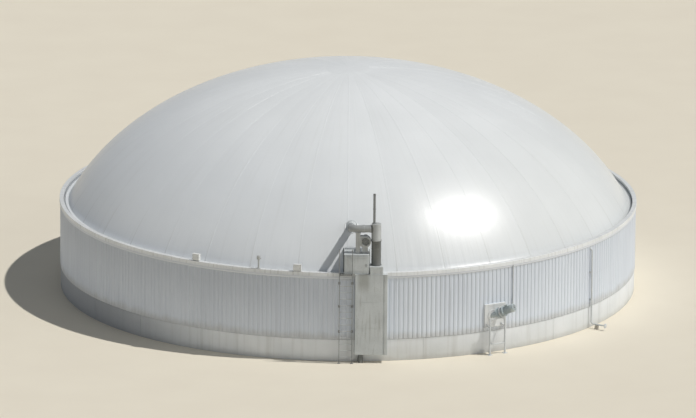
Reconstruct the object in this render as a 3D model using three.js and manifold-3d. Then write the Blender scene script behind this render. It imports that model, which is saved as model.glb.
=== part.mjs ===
// Biogas digester: a round fermentation tank of reinforced concrete, insulated and clad with
// ribbed sheet, under a domed weather membrane, with its service equipment at the front.
// Millimetres, +Z up. The origin is on the tank's axis at ground level, and the front is -Y.

import * as THREE from 'three';
import { mergeVertices } from 'three/addons/utils/BufferGeometryUtils.js';
import Module from 'manifold-3d';

const wasm = await Module();
wasm.setup();

// Driving dimensions of the tank
const FACETS = 72;
const SEAT_GAP = 0.3;
const INNER_RADIUS = 12000;
const WALL_RADIUS = 12250;
const CLADDING_RADIUS = 12400;
const PLINTH_RADIUS = 12370;
const CAPPING_RADIUS = 12430;
const SLAB_TOP = 250;
const PLINTH_TOP = 950;
const WALL_TOP = 3700;
const CLADDING_TOP = 3750;
const RIM_TOP = 3850;
const CAPPING_LIP = 60;

// The dome is part of a flattened sphere, cut off where it meets the crown of the wall
const DOME = { across: 12930, up: 9200, centre: 350 };
const MEMBRANE_THICKNESS = 40;
const FLANGE_THICKNESS = 15;
const FLANGE_RADIUS = 12230;
const OUTER_RINGS = 13;
const INNER_RINGS = 8;

// Clamp rail on the foot of the membrane
const RAIL_INNER = 12165;
const RAIL_OUTER = 12225;
const RAIL_HEIGHT = 50;

// Ladder
const LADDER_X = -70;
const LADDER_GAUGE = 540;
const LADDER_Y = -12730;
const LADDER_TOP = 4950;
const STRINGER = { width: 30, depth: 60 };
const RUNG_RADIUS = 15;
const RUNG_PITCH = 280;

// Service box over the foot of the membrane, and what stands beside it
const BOX = { left: -140, right: 900, front: -12600, back: -11450, top: 4700 };
const CASING = { left: 320, right: 1680, front: -12650, bottom: 350 };
const SADDLE = { left: 920, right: 1500, front: -12650, back: -12000, top: 4180 };
const RISER_X = 560;
const RISER_RADIUS = 100;

// Support-air blower, its duct, and the relief valve with its vent
const BLOWER = { inlet: 750, drum: 700, z: 5225, radius: 260, front: -12420, back: -12160 };
const BLOWER_OUTLET = { left: 330, right: 530 };
const DUCT_RADIUS = 150;
const DUCT_Z = 5740;
const DUCT_Y = -12290;
const DUCT_X = 140;
const DUCT_INNER_END = [DUCT_X, -10250, 5310];
const DUCT_BEND = 330;
const DUCT_SIDES = 12;
const VALVE = { x: 1195, y: -12290, radius: 205, flange: 225, waist: 5250, top: 5980 };
const VENT_X = 1110;
const VENT_RADIUS = 55;
const VENT_TOP = 7250;

// Side agitator on the wall to the right of the front. Its shaft leans up and off to the right.
const AGITATOR_AZIMUTH = 30;
const AGITATOR_X = -150;
const AGITATOR_Z = 1600;
const AGITATOR_TILT = 25;
const AGITATOR_SWIVEL = 35;
const PLATE = { half: 500, middle: 1620, front: -12460 };
const SHAFT_RADIUS = 120;
const GEARBOX = { start: 330, end: 660, radius: 190, flange: 230 };
const MOTOR = { end: 1160, radius: 160, cowl: 172 };
const STAND = { left: -430, right: 300, section: 60, top: 1585 };

// Gas pipe down the wall, and the small boxes on the rim
const GAS_AZIMUTH = 56.2;
const GAS_RADIUS = 35;
const GAS_Y = -12480;
const GAS_RUN = 720;
const GAS_FLANGE_RADIUS = 100;
const RIM_BOX_AZIMUTHS = [-31, -9.8];
const PROBE_AZIMUTH = -17.6;
const CABLE_AZIMUTH = 34.1;

const finishes = {
  concrete: { color: 0xb9b2a4, roughness: 0.9, metalness: 0 },
  cladding: { color: 0xa9b0b4, roughness: 0.5, metalness: 0.2 },
  flashing: { color: 0xd3d7d9, roughness: 0.45, metalness: 0.3 },
  membrane: { color: 0xdedfdb, roughness: 0.5, metalness: 0 },
  galvanised: { color: 0x8f9496, roughness: 0.5, metalness: 0.8 },
  housing: { color: 0x9a9c97, roughness: 0.5, metalness: 0.2 },
  dark: { color: 0x4a4e50, roughness: 0.5, metalness: 0.3 },
  motor: { color: 0x4f6468, roughness: 0.5, metalness: 0.2 },
};

const part = new THREE.Group();
const degrees = THREE.MathUtils.degToRad;

// Shapes: a geometry is cleaned to shared corners without folded triangles
function cleaned(source) {
  const bare = source.clone();
  bare.deleteAttribute('normal');
  bare.deleteAttribute('uv');
  const merged = mergeVertices(bare, 0.01);
  const old = merged.index.array;
  const kept = [];
  for (let i = 0; i < old.length; i += 3) {
    const [a, b, c] = [old[i], old[i + 1], old[i + 2]];
    if (a !== b && b !== c && c !== a) kept.push(a, b, c);
  }
  merged.setIndex(kept);
  return merged;
}

function solid(source) {
  const geometry = cleaned(source);
  return new wasm.Manifold(new wasm.Mesh({
    numProp: 3,
    vertProperties: new Float32Array(geometry.attributes.position.array),
    triVerts: new Uint32Array(geometry.index.array),
  }));
}

function surface(body) {
  const mesh = body.getMesh();
  const geometry = new THREE.BufferGeometry();
  geometry.setAttribute('position', new THREE.BufferAttribute(mesh.vertProperties, 3));
  geometry.setIndex(new THREE.BufferAttribute(mesh.triVerts, 1));
  geometry.computeVertexNormals();
  return geometry;
}

function add(name, body, finish, parent = part) {
  const mesh = new THREE.Mesh(surface(body), new THREE.MeshStandardMaterial(finishes[finish]));
  mesh.name = name;
  parent.add(mesh);
  return mesh;
}

// Sections are lists of [radius, height] and are turned around the Z axis
function turned(section, facets = FACETS) {
  const points = section.map(([radius, height]) => new THREE.Vector2(radius, height));
  return solid(new THREE.LatheGeometry(points, facets).rotateX(Math.PI / 2));
}

function turnedRing(section) {
  return turned([...section, section[0]]);
}

function block(x0, x1, y0, y1, z0, z1) {
  const geometry = new THREE.BoxGeometry(x1 - x0, y1 - y0, z1 - z0);
  return solid(geometry.translate((x0 + x1) / 2, (y0 + y1) / 2, (z0 + z1) / 2));
}

function round(radius, from, to, sides = 16) {
  const start = new THREE.Vector3(...from);
  const reach = new THREE.Vector3(...to).sub(start);
  const geometry = new THREE.CylinderGeometry(radius, radius, reach.length(), sides);
  geometry.translate(0, reach.length() / 2, 0);
  const turn = new THREE.Quaternion();
  turn.setFromUnitVectors(new THREE.Vector3(0, 1, 0), reach.clone().normalize());
  geometry.applyQuaternion(turn);
  return solid(geometry.translate(start.x, start.y, start.z));
}

// A pipe follows straight runs between its corners, with a rounded bend at each inner corner
function pipe(radius, corners, bend, sides, steps) {
  const points = corners.map((corner) => new THREE.Vector3(...corner));
  const path = new THREE.CurvePath();
  let last = points[0];
  for (let i = 1; i < points.length - 1; i += 1) {
    const back = points[i - 1].clone().sub(points[i]).setLength(bend).add(points[i]);
    const ahead = points[i + 1].clone().sub(points[i]).setLength(bend).add(points[i]);
    path.add(new THREE.LineCurve3(last, back));
    path.add(new THREE.QuadraticBezierCurve3(back, points[i], ahead));
    last = ahead;
  }
  path.add(new THREE.LineCurve3(last, points[points.length - 1]));
  const outline = new THREE.Shape();
  for (let i = 0; i < sides; i += 1) {
    const angle = (2 * Math.PI * i) / sides;
    const corner = [radius * Math.cos(angle), radius * Math.sin(angle)];
    if (i === 0) outline.moveTo(...corner);
    else outline.lineTo(...corner);
  }
  return solid(new THREE.ExtrudeGeometry(outline, { steps, bevelEnabled: false, extrudePath: path }));
}

// A wedge of the full circle, a little narrower than its share, so that neighbours don't overlap
function wedge(start, sweep) {
  const reach = 20000;
  const trim = THREE.MathUtils.radToDeg(SEAT_GAP / 2 / INNER_RADIUS);
  const spread = sweep - 2 * trim;
  const outline = new THREE.Shape();
  outline.moveTo(0, 0);
  for (let i = 0; i <= 4; i += 1) {
    const angle = degrees(start + trim + (spread * i) / 4);
    outline.lineTo(reach * Math.sin(angle), -reach * Math.cos(angle));
  }
  const geometry = new THREE.ExtrudeGeometry(outline, { depth: reach, bevelEnabled: false });
  return solid(geometry.translate(0, 0, -reach / 2));
}

function addRing(name, section, count, finish) {
  const ring = turnedRing(section);
  const sweep = 360 / count;
  for (let i = 0; i < count; i += 1) {
    add(`${name}_${i + 1}`, ring.intersect(wedge(i * sweep, sweep)), finish);
  }
}

// Arc of the dome, from the apex down to a height, as points of a section. A positive growth
// puts it outside the membrane, and a negative one inside.
function domeArc(growth, foot, rings) {
  const across = DOME.across + growth;
  const up = DOME.up + growth;
  const last = Math.acos((foot - DOME.centre) / up);
  const arc = [[0, DOME.centre + up]];
  for (let i = 1; i <= rings; i += 1) {
    const angle = (last * i) / rings;
    arc.push([across * Math.sin(angle), DOME.centre + up * Math.cos(angle)]);
  }
  return arc;
}

// The outside of the tank, grown by the seat gap: what sits on the tank is cut by it
function tankEnvelope() {
  const gap = SEAT_GAP;
  const arc = domeArc(gap, WALL_TOP + FLANGE_THICKNESS, OUTER_RINGS);
  const dome = turned([[0, WALL_TOP - 1], [arc.at(-1)[0], WALL_TOP - 1], ...arc.reverse()]);
  const body = turned([
    [0, -1],
    [CLADDING_RADIUS + gap, -1],
    [CLADDING_RADIUS + gap, CLADDING_TOP - CAPPING_LIP - gap],
    [CAPPING_RADIUS + gap, CLADDING_TOP - CAPPING_LIP - gap],
    [CAPPING_RADIUS + gap, RIM_TOP + gap],
    [WALL_RADIUS, RIM_TOP + gap],
    [WALL_RADIUS, WALL_TOP],
    [0, WALL_TOP],
  ]);
  return body.add(dome);
}

const envelope = tankEnvelope();

function seated(body, azimuth = 0) {
  return body.subtract(envelope.rotate([0, 0, -azimuth]));
}

// Floor slab and wall: one concrete tank, cast in place
add('floor_slab', turned([[0, 0], [WALL_RADIUS, 0], [WALL_RADIUS, SLAB_TOP], [0, SLAB_TOP]]), 'concrete');
addRing('tank_wall', [
  [INNER_RADIUS, SLAB_TOP],
  [WALL_RADIUS, SLAB_TOP],
  [WALL_RADIUS, WALL_TOP],
  [INNER_RADIUS, WALL_TOP],
], 6, 'concrete');

// Plinth round the foot of the wall, cladding above it, and the capping on top
addRing('plinth', [
  [WALL_RADIUS + SEAT_GAP, 0],
  [PLINTH_RADIUS, 0],
  [PLINTH_RADIUS, PLINTH_TOP],
  [WALL_RADIUS + SEAT_GAP, PLINTH_TOP],
], 4, 'concrete');
addRing('wall_cladding', [
  [WALL_RADIUS + SEAT_GAP, PLINTH_TOP],
  [CLADDING_RADIUS, PLINTH_TOP],
  [CLADDING_RADIUS, CLADDING_TOP],
  [WALL_RADIUS + SEAT_GAP, CLADDING_TOP],
], 6, 'cladding');
addRing('rim_capping', [
  [WALL_RADIUS + SEAT_GAP, CLADDING_TOP],
  [CLADDING_RADIUS + SEAT_GAP, CLADDING_TOP],
  [CLADDING_RADIUS + SEAT_GAP, CLADDING_TOP - CAPPING_LIP],
  [CAPPING_RADIUS, CLADDING_TOP - CAPPING_LIP],
  [CAPPING_RADIUS, RIM_TOP],
  [WALL_RADIUS + SEAT_GAP, RIM_TOP],
], 4, 'flashing');

// Domed outer membrane, with the foot flange that the clamp rail holds down on the wall
const innerArc = domeArc(-MEMBRANE_THICKNESS, WALL_TOP, INNER_RINGS);
const outerArc = domeArc(0, WALL_TOP + FLANGE_THICKNESS, OUTER_RINGS);
add('outer_membrane', turned([
  ...innerArc,
  [FLANGE_RADIUS, WALL_TOP],
  [FLANGE_RADIUS, WALL_TOP + FLANGE_THICKNESS],
  ...outerArc.reverse(),
]), 'membrane');
const railBottom = WALL_TOP + FLANGE_THICKNESS;
add('clamp_rail', turnedRing([
  [RAIL_INNER, railBottom],
  [RAIL_OUTER, railBottom],
  [RAIL_OUTER, railBottom + RAIL_HEIGHT],
  [RAIL_INNER, railBottom + RAIL_HEIGHT],
]), 'galvanised');

// Ladder: two stringers with rungs, held off the cladding by brackets
function ladder() {
  const left = LADDER_X - LADDER_GAUGE / 2;
  const right = LADDER_X + LADDER_GAUGE / 2;
  const front = LADDER_Y - STRINGER.depth / 2;
  const back = LADDER_Y + STRINGER.depth / 2;
  const footHalf = 60;
  const bracketHeights = [1300, 2400, 3400];
  let body = null;
  for (const x of [left, right]) {
    const half = STRINGER.width / 2;
    let side = block(x - half, x + half, front, back, 0, LADDER_TOP);
    side = side.add(block(x - footHalf, x + footHalf, LADDER_Y - footHalf, LADDER_Y + footHalf, 0, 12));
    for (const z of bracketHeights) {
      side = side.add(block(x - 6, x + 6, LADDER_Y, -WALL_RADIUS, z - 25, z + 25));
    }
    body = body ? body.add(side) : side;
  }
  for (let z = RUNG_PITCH; z < RIM_TOP; z += RUNG_PITCH) {
    body = body.add(round(RUNG_RADIUS, [left, LADDER_Y, z], [right, LADDER_Y, z], 6));
  }
  return seated(body);
}

add('ladder', ladder(), 'galvanised');

// Landing plate between the stringers, from the top of the ladder to the rim
const landingHalf = LADDER_GAUGE / 2 - STRINGER.width / 2 - SEAT_GAP;
const landingBody = block(
  LADDER_X - landingHalf,
  LADDER_X + landingHalf,
  LADDER_Y - STRINGER.depth / 2,
  -WALL_RADIUS,
  RIM_TOP - 75,
  RIM_TOP,
);
add('ladder_landing', seated(landingBody), 'galvanised');

// Casing up the wall for the pipes, with the pipe that comes out at its foot
const casingBody = block(CASING.left, CASING.right, CASING.front, -WALL_RADIUS, CASING.bottom, RIM_TOP);
add('riser_casing', seated(casingBody), 'housing');
const riserY = CASING.front + RISER_RADIUS + 20;
add('riser_pipe', round(
  RISER_RADIUS,
  [RISER_X, riserY, 0],
  [RISER_X, riserY, CASING.bottom - SEAT_GAP],
), 'dark');

// Service box standing on the rim and over the foot of the dome, with its lid
const boxBottom = RIM_TOP + SEAT_GAP;
const boxBody = block(BOX.left, BOX.right, BOX.front, BOX.back, boxBottom, BOX.top);
add('service_box', seated(boxBody), 'housing');
const lidInset = 50;
add('service_box_lid', block(
  BOX.left + lidInset,
  BOX.right - lidInset,
  BLOWER.back + 420,
  BOX.back - lidInset,
  BOX.top,
  BOX.top + 60,
), 'galvanised');

// Blower on the box: a volute on a pedestal, with its outlet casing beside it up to the duct. The
// inlet and the motor sit a little off the drum's centre, as in a scroll that widens one way.
function blower() {
  const { inlet, drum, z, radius, front, back } = BLOWER;
  const inletRadius = 190;
  const boreRadius = 160;
  const pedestalHalf = 190;
  const outletTop = DUCT_Z - DUCT_RADIUS + 20;
  let body = round(radius, [drum, front, z], [drum, back, z], 20);
  body = body.add(block(
    BLOWER_OUTLET.left,
    BLOWER_OUTLET.right,
    front,
    back,
    BOX.top,
    outletTop,
  ));
  body = body.add(block(
    drum - pedestalHalf,
    drum + pedestalHalf,
    front + 30,
    back - 30,
    BOX.top,
    z,
  ));
  body = body.add(round(inletRadius, [inlet, front - 70, z], [inlet, front + 1, z], 20));
  body = body.subtract(round(boreRadius, [inlet, front - 80, z], [inlet, front + 140, z], 20));
  return body.subtract(duct(DUCT_RADIUS + SEAT_GAP));
}

// Duct from the valve along the front, then round the corner and down into the dome
function duct(radius) {
  return pipe(radius, [
    [VALVE.x, DUCT_Y, DUCT_Z],
    [DUCT_X, DUCT_Y, DUCT_Z],
    DUCT_INNER_END,
  ], DUCT_BEND, DUCT_SIDES, 22);
}

function valve(grown) {
  const { x, y, radius, flange, waist, top } = VALVE;
  const bottom = SADDLE.top;
  const thickness = 30;
  const chamfer = 30;
  const section = [
    [0, bottom],
    [flange, bottom],
    [flange, bottom + thickness],
    [radius, bottom + thickness],
    [radius, waist - thickness],
    [flange, waist - thickness],
    [flange, waist + thickness],
    [radius, waist + thickness],
    [radius, top - chamfer],
    [radius - chamfer, top],
    [0, top],
  ];
  const spread = section.map(([r, z]) => [r > 0 ? r + grown : 0, z]);
  return turned(spread, 20).translate([x, y, 0]);
}

// Where the duct's axis meets the dome, and the way it runs there
const ductMeetsDome = new THREE.Vector3(DUCT_X, -10786, 5423);
const ductCorner = new THREE.Vector3(DUCT_X, DUCT_Y, DUCT_Z);
const ductAxis = new THREE.Vector3(...DUCT_INNER_END).sub(ductCorner).normalize();

add('blower_housing', blower(), 'housing');
add('blower_motor', round(
  140,
  [BLOWER.inlet, BLOWER.back, BLOWER.z],
  [BLOWER.inlet, BLOWER.back + 360, BLOWER.z],
), 'dark');
add('support_air_duct', seated(duct(DUCT_RADIUS)).subtract(valve(SEAT_GAP)), 'dark');
const collarBack = ductMeetsDome.clone().addScaledVector(ductAxis, 400);
const collarFront = ductMeetsDome.clone().addScaledVector(ductAxis, -160);
const collar = round(260, collarFront.toArray(), collarBack.toArray(), 20);
add('duct_collar', seated(collar).subtract(duct(DUCT_RADIUS + SEAT_GAP)), 'housing');

// Saddle on the rim that carries the relief valve, the valve, and its vent pipe
const saddleBody = block(
  SADDLE.left,
  SADDLE.right,
  SADDLE.front,
  SADDLE.back,
  RIM_TOP + SEAT_GAP,
  SADDLE.top,
);
add('valve_saddle', seated(saddleBody), 'housing');
add('relief_valve', valve(0), 'dark');
const ventFlange = round(85, [VENT_X, VALVE.y, VALVE.top], [VENT_X, VALVE.y, VALVE.top + 25], 16);
const ventTube = round(VENT_RADIUS, [VENT_X, VALVE.y, VALVE.top + 5], [VENT_X, VALVE.y, VENT_TOP], 12);
add('vent_pipe', ventFlange.add(ventTube), 'galvanised');

// Side agitator: a wall plate, an inclined shaft housing with gearbox and motor, and a stand
const agitator = new THREE.Group();
agitator.rotation.z = degrees(AGITATOR_AZIMUTH);
part.add(agitator);

function alongShaft(distance) {
  const tilt = degrees(AGITATOR_TILT);
  const swivel = degrees(AGITATOR_SWIVEL);
  const level = distance * Math.cos(tilt);
  return [
    AGITATOR_X + level * Math.sin(swivel),
    -CLADDING_RADIUS - level * Math.cos(swivel),
    AGITATOR_Z + distance * Math.sin(tilt),
  ];
}

function shaftRound(radius, start, end, sides = 18) {
  return round(radius, alongShaft(start), alongShaft(end), sides);
}

const plateBody = block(
  -PLATE.half,
  PLATE.half,
  PLATE.front,
  -WALL_RADIUS,
  PLATE.middle - PLATE.half,
  PLATE.middle + PLATE.half,
);
add('agitator_plate', seated(plateBody, AGITATOR_AZIMUTH), 'housing', agitator);

function gearbox(grown) {
  const { start, end, radius, flange } = GEARBOX;
  const thickness = 35;
  const first = start - grown;
  const last = end + grown;
  let body = shaftRound(SHAFT_RADIUS + grown, -200, start + 10);
  body = body.add(shaftRound(flange + grown, first, start + thickness + grown));
  body = body.add(shaftRound(radius + grown, start + 10, end - 10));
  body = body.add(shaftRound(flange + grown, end - thickness - grown, last));
  return body.subtract(block(-1000, 1000, PLATE.front - SEAT_GAP, 0, 0, RIM_TOP));
}

function motor() {
  const { end, radius, cowl } = MOTOR;
  const start = GEARBOX.end + SEAT_GAP;
  const cowlLength = 130;
  const box = shaftRound(95, start + 180, start + 360, 4).translate([0, 0, radius]);
  let body = shaftRound(radius, start, end - 20);
  body = body.add(shaftRound(cowl, end - cowlLength, end));
  return body.add(box);
}

add('agitator_gearbox', gearbox(0), 'motor', agitator);
add('agitator_motor', motor(), 'motor', agitator);

function agitatorStand() {
  const { left, right, section, top } = STAND;
  const half = section / 2;
  const y = alongShaft((GEARBOX.start + GEARBOX.end) / 2)[1];
  const tieHeight = 420;
  let body = block(left, right, y - half, y + half, top - section, top + 60);
  for (const x of [left, right]) {
    body = body.add(block(x - half, x + half, y - half, y + half, 0, top));
    body = body.add(block(x - 90, x + 90, y - 90, y + 90, 0, 15));
    body = body.add(block(x - half, x + half, y, -WALL_RADIUS, 1180, 1180 + section));
  }
  body = body.add(block(left, right, y - half, y + half, tieHeight, tieHeight + section));
  body = body.subtract(gearbox(SEAT_GAP));
  body = body.subtract(block(-1000, 1000, PLATE.front - SEAT_GAP, 0, PLATE.middle - PLATE.half - 1, RIM_TOP));
  return seated(body, AGITATOR_AZIMUTH);
}

add('agitator_stand', agitatorStand(), 'galvanised', agitator);

// Cable conduit from the agitator's side up to the rim
const cable = new THREE.Group();
cable.rotation.z = degrees(CABLE_AZIMUTH);
part.add(cable);
const conduitY = -CLADDING_RADIUS - 40;
let conduit = round(24, [0, conduitY, 1950], [0, conduitY, CLADDING_TOP - CAPPING_LIP - 10], 8);
for (const z of [2200, 3200]) {
  conduit = conduit.add(block(-40, 40, conduitY, -WALL_RADIUS, z - 20, z + 20));
}
add('cable_conduit', seated(conduit, CABLE_AZIMUTH), 'galvanised', cable);

// Gas pipe: out of the wall under the rim, down to the ground, and out to a blanked flange
const gas = new THREE.Group();
gas.rotation.z = degrees(GAS_AZIMUTH);
part.add(gas);
const gasTop = 3480;
const gasFoot = 200;
let gasPipe = pipe(GAS_RADIUS, [
  [0, -WALL_RADIUS, gasTop],
  [0, GAS_Y, gasTop],
  [0, GAS_Y, gasFoot],
  [0, GAS_Y - GAS_RUN + 20, gasFoot],
], 120, 12, 30);
for (const z of [1250, 2450]) {
  gasPipe = gasPipe.add(block(-70, 70, GAS_Y, -WALL_RADIUS, z - 20, z + 20));
}
gasPipe = gasPipe.add(block(-80, 80, GAS_Y - 340, GAS_Y - 220, 0, gasFoot));
const gasFlangeBack = [0, GAS_Y - GAS_RUN + 25, gasFoot];
gasPipe = gasPipe.add(round(GAS_FLANGE_RADIUS, gasFlangeBack, [0, GAS_Y - GAS_RUN, gasFoot], 20));
add('gas_pipe', seated(gasPipe, GAS_AZIMUTH), 'galvanised', gas);

// Small boxes and the level probe on the rim
RIM_BOX_AZIMUTHS.forEach((azimuth, index) => {
  const mount = new THREE.Group();
  mount.rotation.z = degrees(azimuth);
  part.add(mount);
  const body = block(-170, 170, -12420, -12265, RIM_TOP, RIM_TOP + 300);
  add(`rim_box_${index + 1}`, seated(body, azimuth), 'flashing', mount);
});
const probe = new THREE.Group();
probe.rotation.z = degrees(PROBE_AZIMUTH);
part.add(probe);
const probeY = -12340;
let probeBody = round(35, [0, probeY, RIM_TOP], [0, probeY, RIM_TOP + 420], 10);
probeBody = probeBody.add(round(80, [0, probeY, RIM_TOP + 380], [0, probeY, RIM_TOP + 560], 12));
probeBody = probeBody.add(block(-90, 90, -12415, -12265, RIM_TOP, RIM_TOP + 15));
add('level_probe', seated(probeBody, PROBE_AZIMUTH), 'dark', probe);

export default part;
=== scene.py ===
import itertools
import math
import random

import bmesh
import bpy
from mathutils import Matrix, Vector


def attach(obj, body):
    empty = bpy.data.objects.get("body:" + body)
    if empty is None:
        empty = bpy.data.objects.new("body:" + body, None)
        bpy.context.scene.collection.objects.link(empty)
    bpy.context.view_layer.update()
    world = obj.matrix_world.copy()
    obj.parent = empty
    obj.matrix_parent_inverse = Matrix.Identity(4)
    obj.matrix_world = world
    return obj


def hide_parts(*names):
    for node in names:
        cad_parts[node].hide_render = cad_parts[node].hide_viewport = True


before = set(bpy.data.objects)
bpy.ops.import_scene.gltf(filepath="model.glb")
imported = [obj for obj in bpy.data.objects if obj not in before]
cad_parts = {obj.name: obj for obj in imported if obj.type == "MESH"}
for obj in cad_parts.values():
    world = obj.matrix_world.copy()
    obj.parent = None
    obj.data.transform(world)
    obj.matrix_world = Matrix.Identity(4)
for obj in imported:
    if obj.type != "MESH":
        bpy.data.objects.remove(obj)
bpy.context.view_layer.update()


# Tank: floor slab and wall of reinforced concrete, cast in place. The bare concrete shows
# only on the crown of the wall, between the foot of the dome and the capping.
CROWN = 3.7
RIM_TOP = 3.85


class Wire:
    """One socket in a material or the sky. Arithmetic on wires and numbers adds the Math nodes for it."""

    def __init__(self, material, socket=None):
        self.material = material
        self.socket = socket

    def node(self, kind, settings, sockets, output=0):
        """Adds a node with these settings and sockets, and gives the wire of one of its outputs."""
        tree = self.material.node_tree
        made = tree.nodes.new("ShaderNode" + kind)
        for key, value in settings.items():
            setattr(made, key, value)
        for key, value in sockets.items():
            if isinstance(value, Wire):
                tree.links.new(value.socket, made.inputs[key])
            else:
                made.inputs[key].default_value = value
        return Wire(self.material, made.outputs[output] if made.outputs else None)

    def maths(self, operation, first, second):
        return self.node("Math", {"operation": operation}, {0: first, 1: second})

    def __add__(self, other):
        return self.maths("ADD", self, other)

    def __radd__(self, other):
        return self.maths("ADD", other, self)

    def __sub__(self, other):
        return self.maths("SUBTRACT", self, other)

    def __rsub__(self, other):
        return self.maths("SUBTRACT", other, self)

    def __mul__(self, other):
        return self.maths("MULTIPLY", self, other)

    def __rmul__(self, other):
        return self.maths("MULTIPLY", other, self)

    def part(self, axis):
        return self.node("SeparateXYZ", {}, {0: self}, axis)

    def between(self, low, high):
        """0 below low and 1 above high, with a soft step from one to the other."""
        return self.node("MapRange", {"interpolation_type": "SMOOTHSTEP"}, {0: self, 1: low, 2: high})

    def mix(self, first, second):
        """The first colour where this is 0, and the second where it is 1. A plain colour is written
        as its three screen values."""
        first, second = [c if isinstance(c, Wire) else from_screen(c) for c in (first, second)]
        return self.node("Mix", {"data_type": "RGBA"}, {0: self, 6: first, 7: second}, 2)

    def noise(self, scale, detail, stretch=(1.0, 1.0, 1.0)):
        """Clouds from 0 to 1, where a larger scale or stretch makes them finer."""
        spread = self.node("VectorMath", {"operation": "MULTIPLY"}, {0: self, 1: stretch})
        return self.node("TexNoise", {}, {"Vector": spread, "Scale": scale, "Detail": detail})

    def cells(self, scale):
        """A different value from 0 to 1 for each cell of a crystal pattern."""
        return self.node("TexVoronoi", {}, {"Vector": self, "Scale": scale}, 1).part(0)

    def finished(self, colour, roughness, height, depth, metallic=0.0):
        """Closes the material on a surface shader, with height as its relief."""
        relief = self.node("Bump", {}, {"Height": height, "Distance": depth, "Strength": 1.0})
        sockets = {"Base Color": colour, "Roughness": roughness, "Metallic": metallic, "Normal": relief}
        self.node("OutputMaterial", {}, {0: self.node("BsdfPrincipled", {}, sockets)})
        return self.material


def blank(name):
    """A new material, given by the wire of its place on the object."""
    material = bpy.data.materials.new(name)
    material.use_nodes = True
    material.node_tree.nodes.clear()
    return Wire(material).node("TexCoord", {}, {}, "Object")


def from_screen(values):
    """A colour from its screen values, 0 to 255."""
    values = [value / 255 for value in values]
    return (*[v / 12.92 if v < 0.04045 else ((v + 0.055) / 1.055) ** 2.4 for v in values], 1.0)


def concrete_finish(name, pale, dark, stained):
    """Cast concrete: clouds in its tone, small pores, and stains that run down."""
    place = blank(name)
    cloud = place.noise(0.9, 6.0)
    pores = place.noise(70.0, 2.0).between(0.6, 0.7)
    stains = place.noise(1.0, 7.0, (3.0, 3.0, 0.5)).between(0.5, 0.78)
    colour = cloud.between(0.3, 0.7).mix(dark, pale)
    colour = (stains * 0.55 + pores * 0.25).mix(colour, stained)
    return place.finished(colour, 0.82 + 0.12 * cloud, place.noise(28.0, 5.0) - pores, 0.003)


cast_concrete = concrete_finish("cast_concrete", (196, 192, 183), (171, 166, 156), (120, 114, 103))
for node in ("floor_slab", *[f"tank_wall_{number}" for number in range(1, 7)]):
    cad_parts[node].material_slots[0].material = cast_concrete


# Plinth: rendered bays round the foot of the wall, with joints between them. Light grey filler
# lies in the joints and in the gap under the cladding. The render's left side is painted darker: painted
# shade.
PLINTH_RADIUS = 12.37
PLINTH_TOP = 0.95
FILLER_RADIUS = 12.354
WALL_FACE = 12.252
QUARTER = 90
PLINTH_BAY = 15
JOINT_HALF = 0.03
SHARP_EDGE = math.radians(34)


def polar(radius, azimuth, height):
    """A point at a radius from the tank's axis."""
    angle = math.radians(azimuth)
    return (radius * math.sin(angle), -radius * math.cos(angle), height)


class Piece:
    """The mesh of one piece while it is made, in the frame of an azimuth on the wall."""

    def __init__(self, azimuth=0.0):
        self.turn = Matrix.Rotation(math.radians(azimuth), 4, "Z")
        self.skin = 0
        self.points = []
        self.faces = []
        self.skins = []

    def loft(self, rings, loop=False):
        """Faces from ring to ring. The ends are filled, unless the last ring meets the first."""
        count = len(rings[0])
        first = len(self.points)
        for ring in rings:
            self.points += [self.turn @ Vector(point) for point in ring]
        total = count * len(rings)
        spans = len(rings) if loop else len(rings) - 1
        made = []
        for i in range(spans):
            here = i * count
            ahead = (here + count) % total
            for j in range(count):
                k = (j + 1) % count
                made.append((here + j, here + k, ahead + k, ahead + j))
        if not loop:
            made += [tuple(range(count)), tuple(range(total - count, total))]
        self.faces += [[first + i for i in face] for face in made]
        self.skins += [self.skin] * len(made)

    def round_tank(self, azimuths, section):
        """A closed section of radius and height pairs, swept round the tank's axis."""
        self.loft([[polar(radius, azimuth, height) for radius, height in section] for azimuth in azimuths])

    def done(self, name, slot, finishes, *nodes):
        """Makes the object, with a finish for each skin, and sets it in the place of the nodes."""
        mesh = bpy.data.meshes.new(name)
        mesh.from_pydata(self.points, [], self.faces)
        mesh.polygons.foreach_set("material_index", self.skins)
        for finish in finishes:
            mesh.materials.append(finish)
        shell = bmesh.new()
        shell.from_mesh(mesh)
        bmesh.ops.recalc_face_normals(shell, faces=shell.faces)
        shell.to_mesh(mesh)
        shell.free()
        mesh.polygons.foreach_set("use_smooth", [True] * len(mesh.polygons))
        mesh.set_sharp_from_angle(angle=SHARP_EDGE)
        piece = bpy.data.objects.new(name, mesh)
        bpy.context.scene.collection.objects.link(piece)
        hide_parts(*nodes)
        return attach(piece, "root")


def steps(start, end, count):
    """Evenly spaced values with both ends, one more than the count."""
    return [start + (end - start) * i / count for i in range(count + 1)]


def plinth_finish():
    """Rendered concrete: runs of dirt, splashes at its foot, and painted shade darkening its left side."""
    place = blank("plinth_render")
    cloud = place.noise(0.8, 6.0)
    runs = place.noise(1.0, 6.0, (5.0, 5.0, 0.25)).between(0.48, 0.75)
    splash = 1 - (place.part(2) + 0.25 * place.noise(3.0, 5.0)).between(0.1, 0.42)
    # Painted shade: the left side, away from the sun, is darkened to a bluish grey.
    shade_painted_plinth_left = 1 - place.part(0).between(-10.7, -5.4)
    colour = cloud.between(0.3, 0.7).mix((222, 226, 228), (230, 233, 235))
    colour = (runs * 0.3).mix(colour, (186, 187, 184))
    colour = (splash * 0.35).mix(colour, (176, 173, 165))
    colour = (shade_painted_plinth_left * 0.8).mix(colour, (138, 142, 148))
    grain = place.noise(120.0, 3.0) + 2 * place.noise(9.0, 5.0)
    return place.finished(colour, 0.86 + 0.1 * cloud, grain, 0.002)


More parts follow.
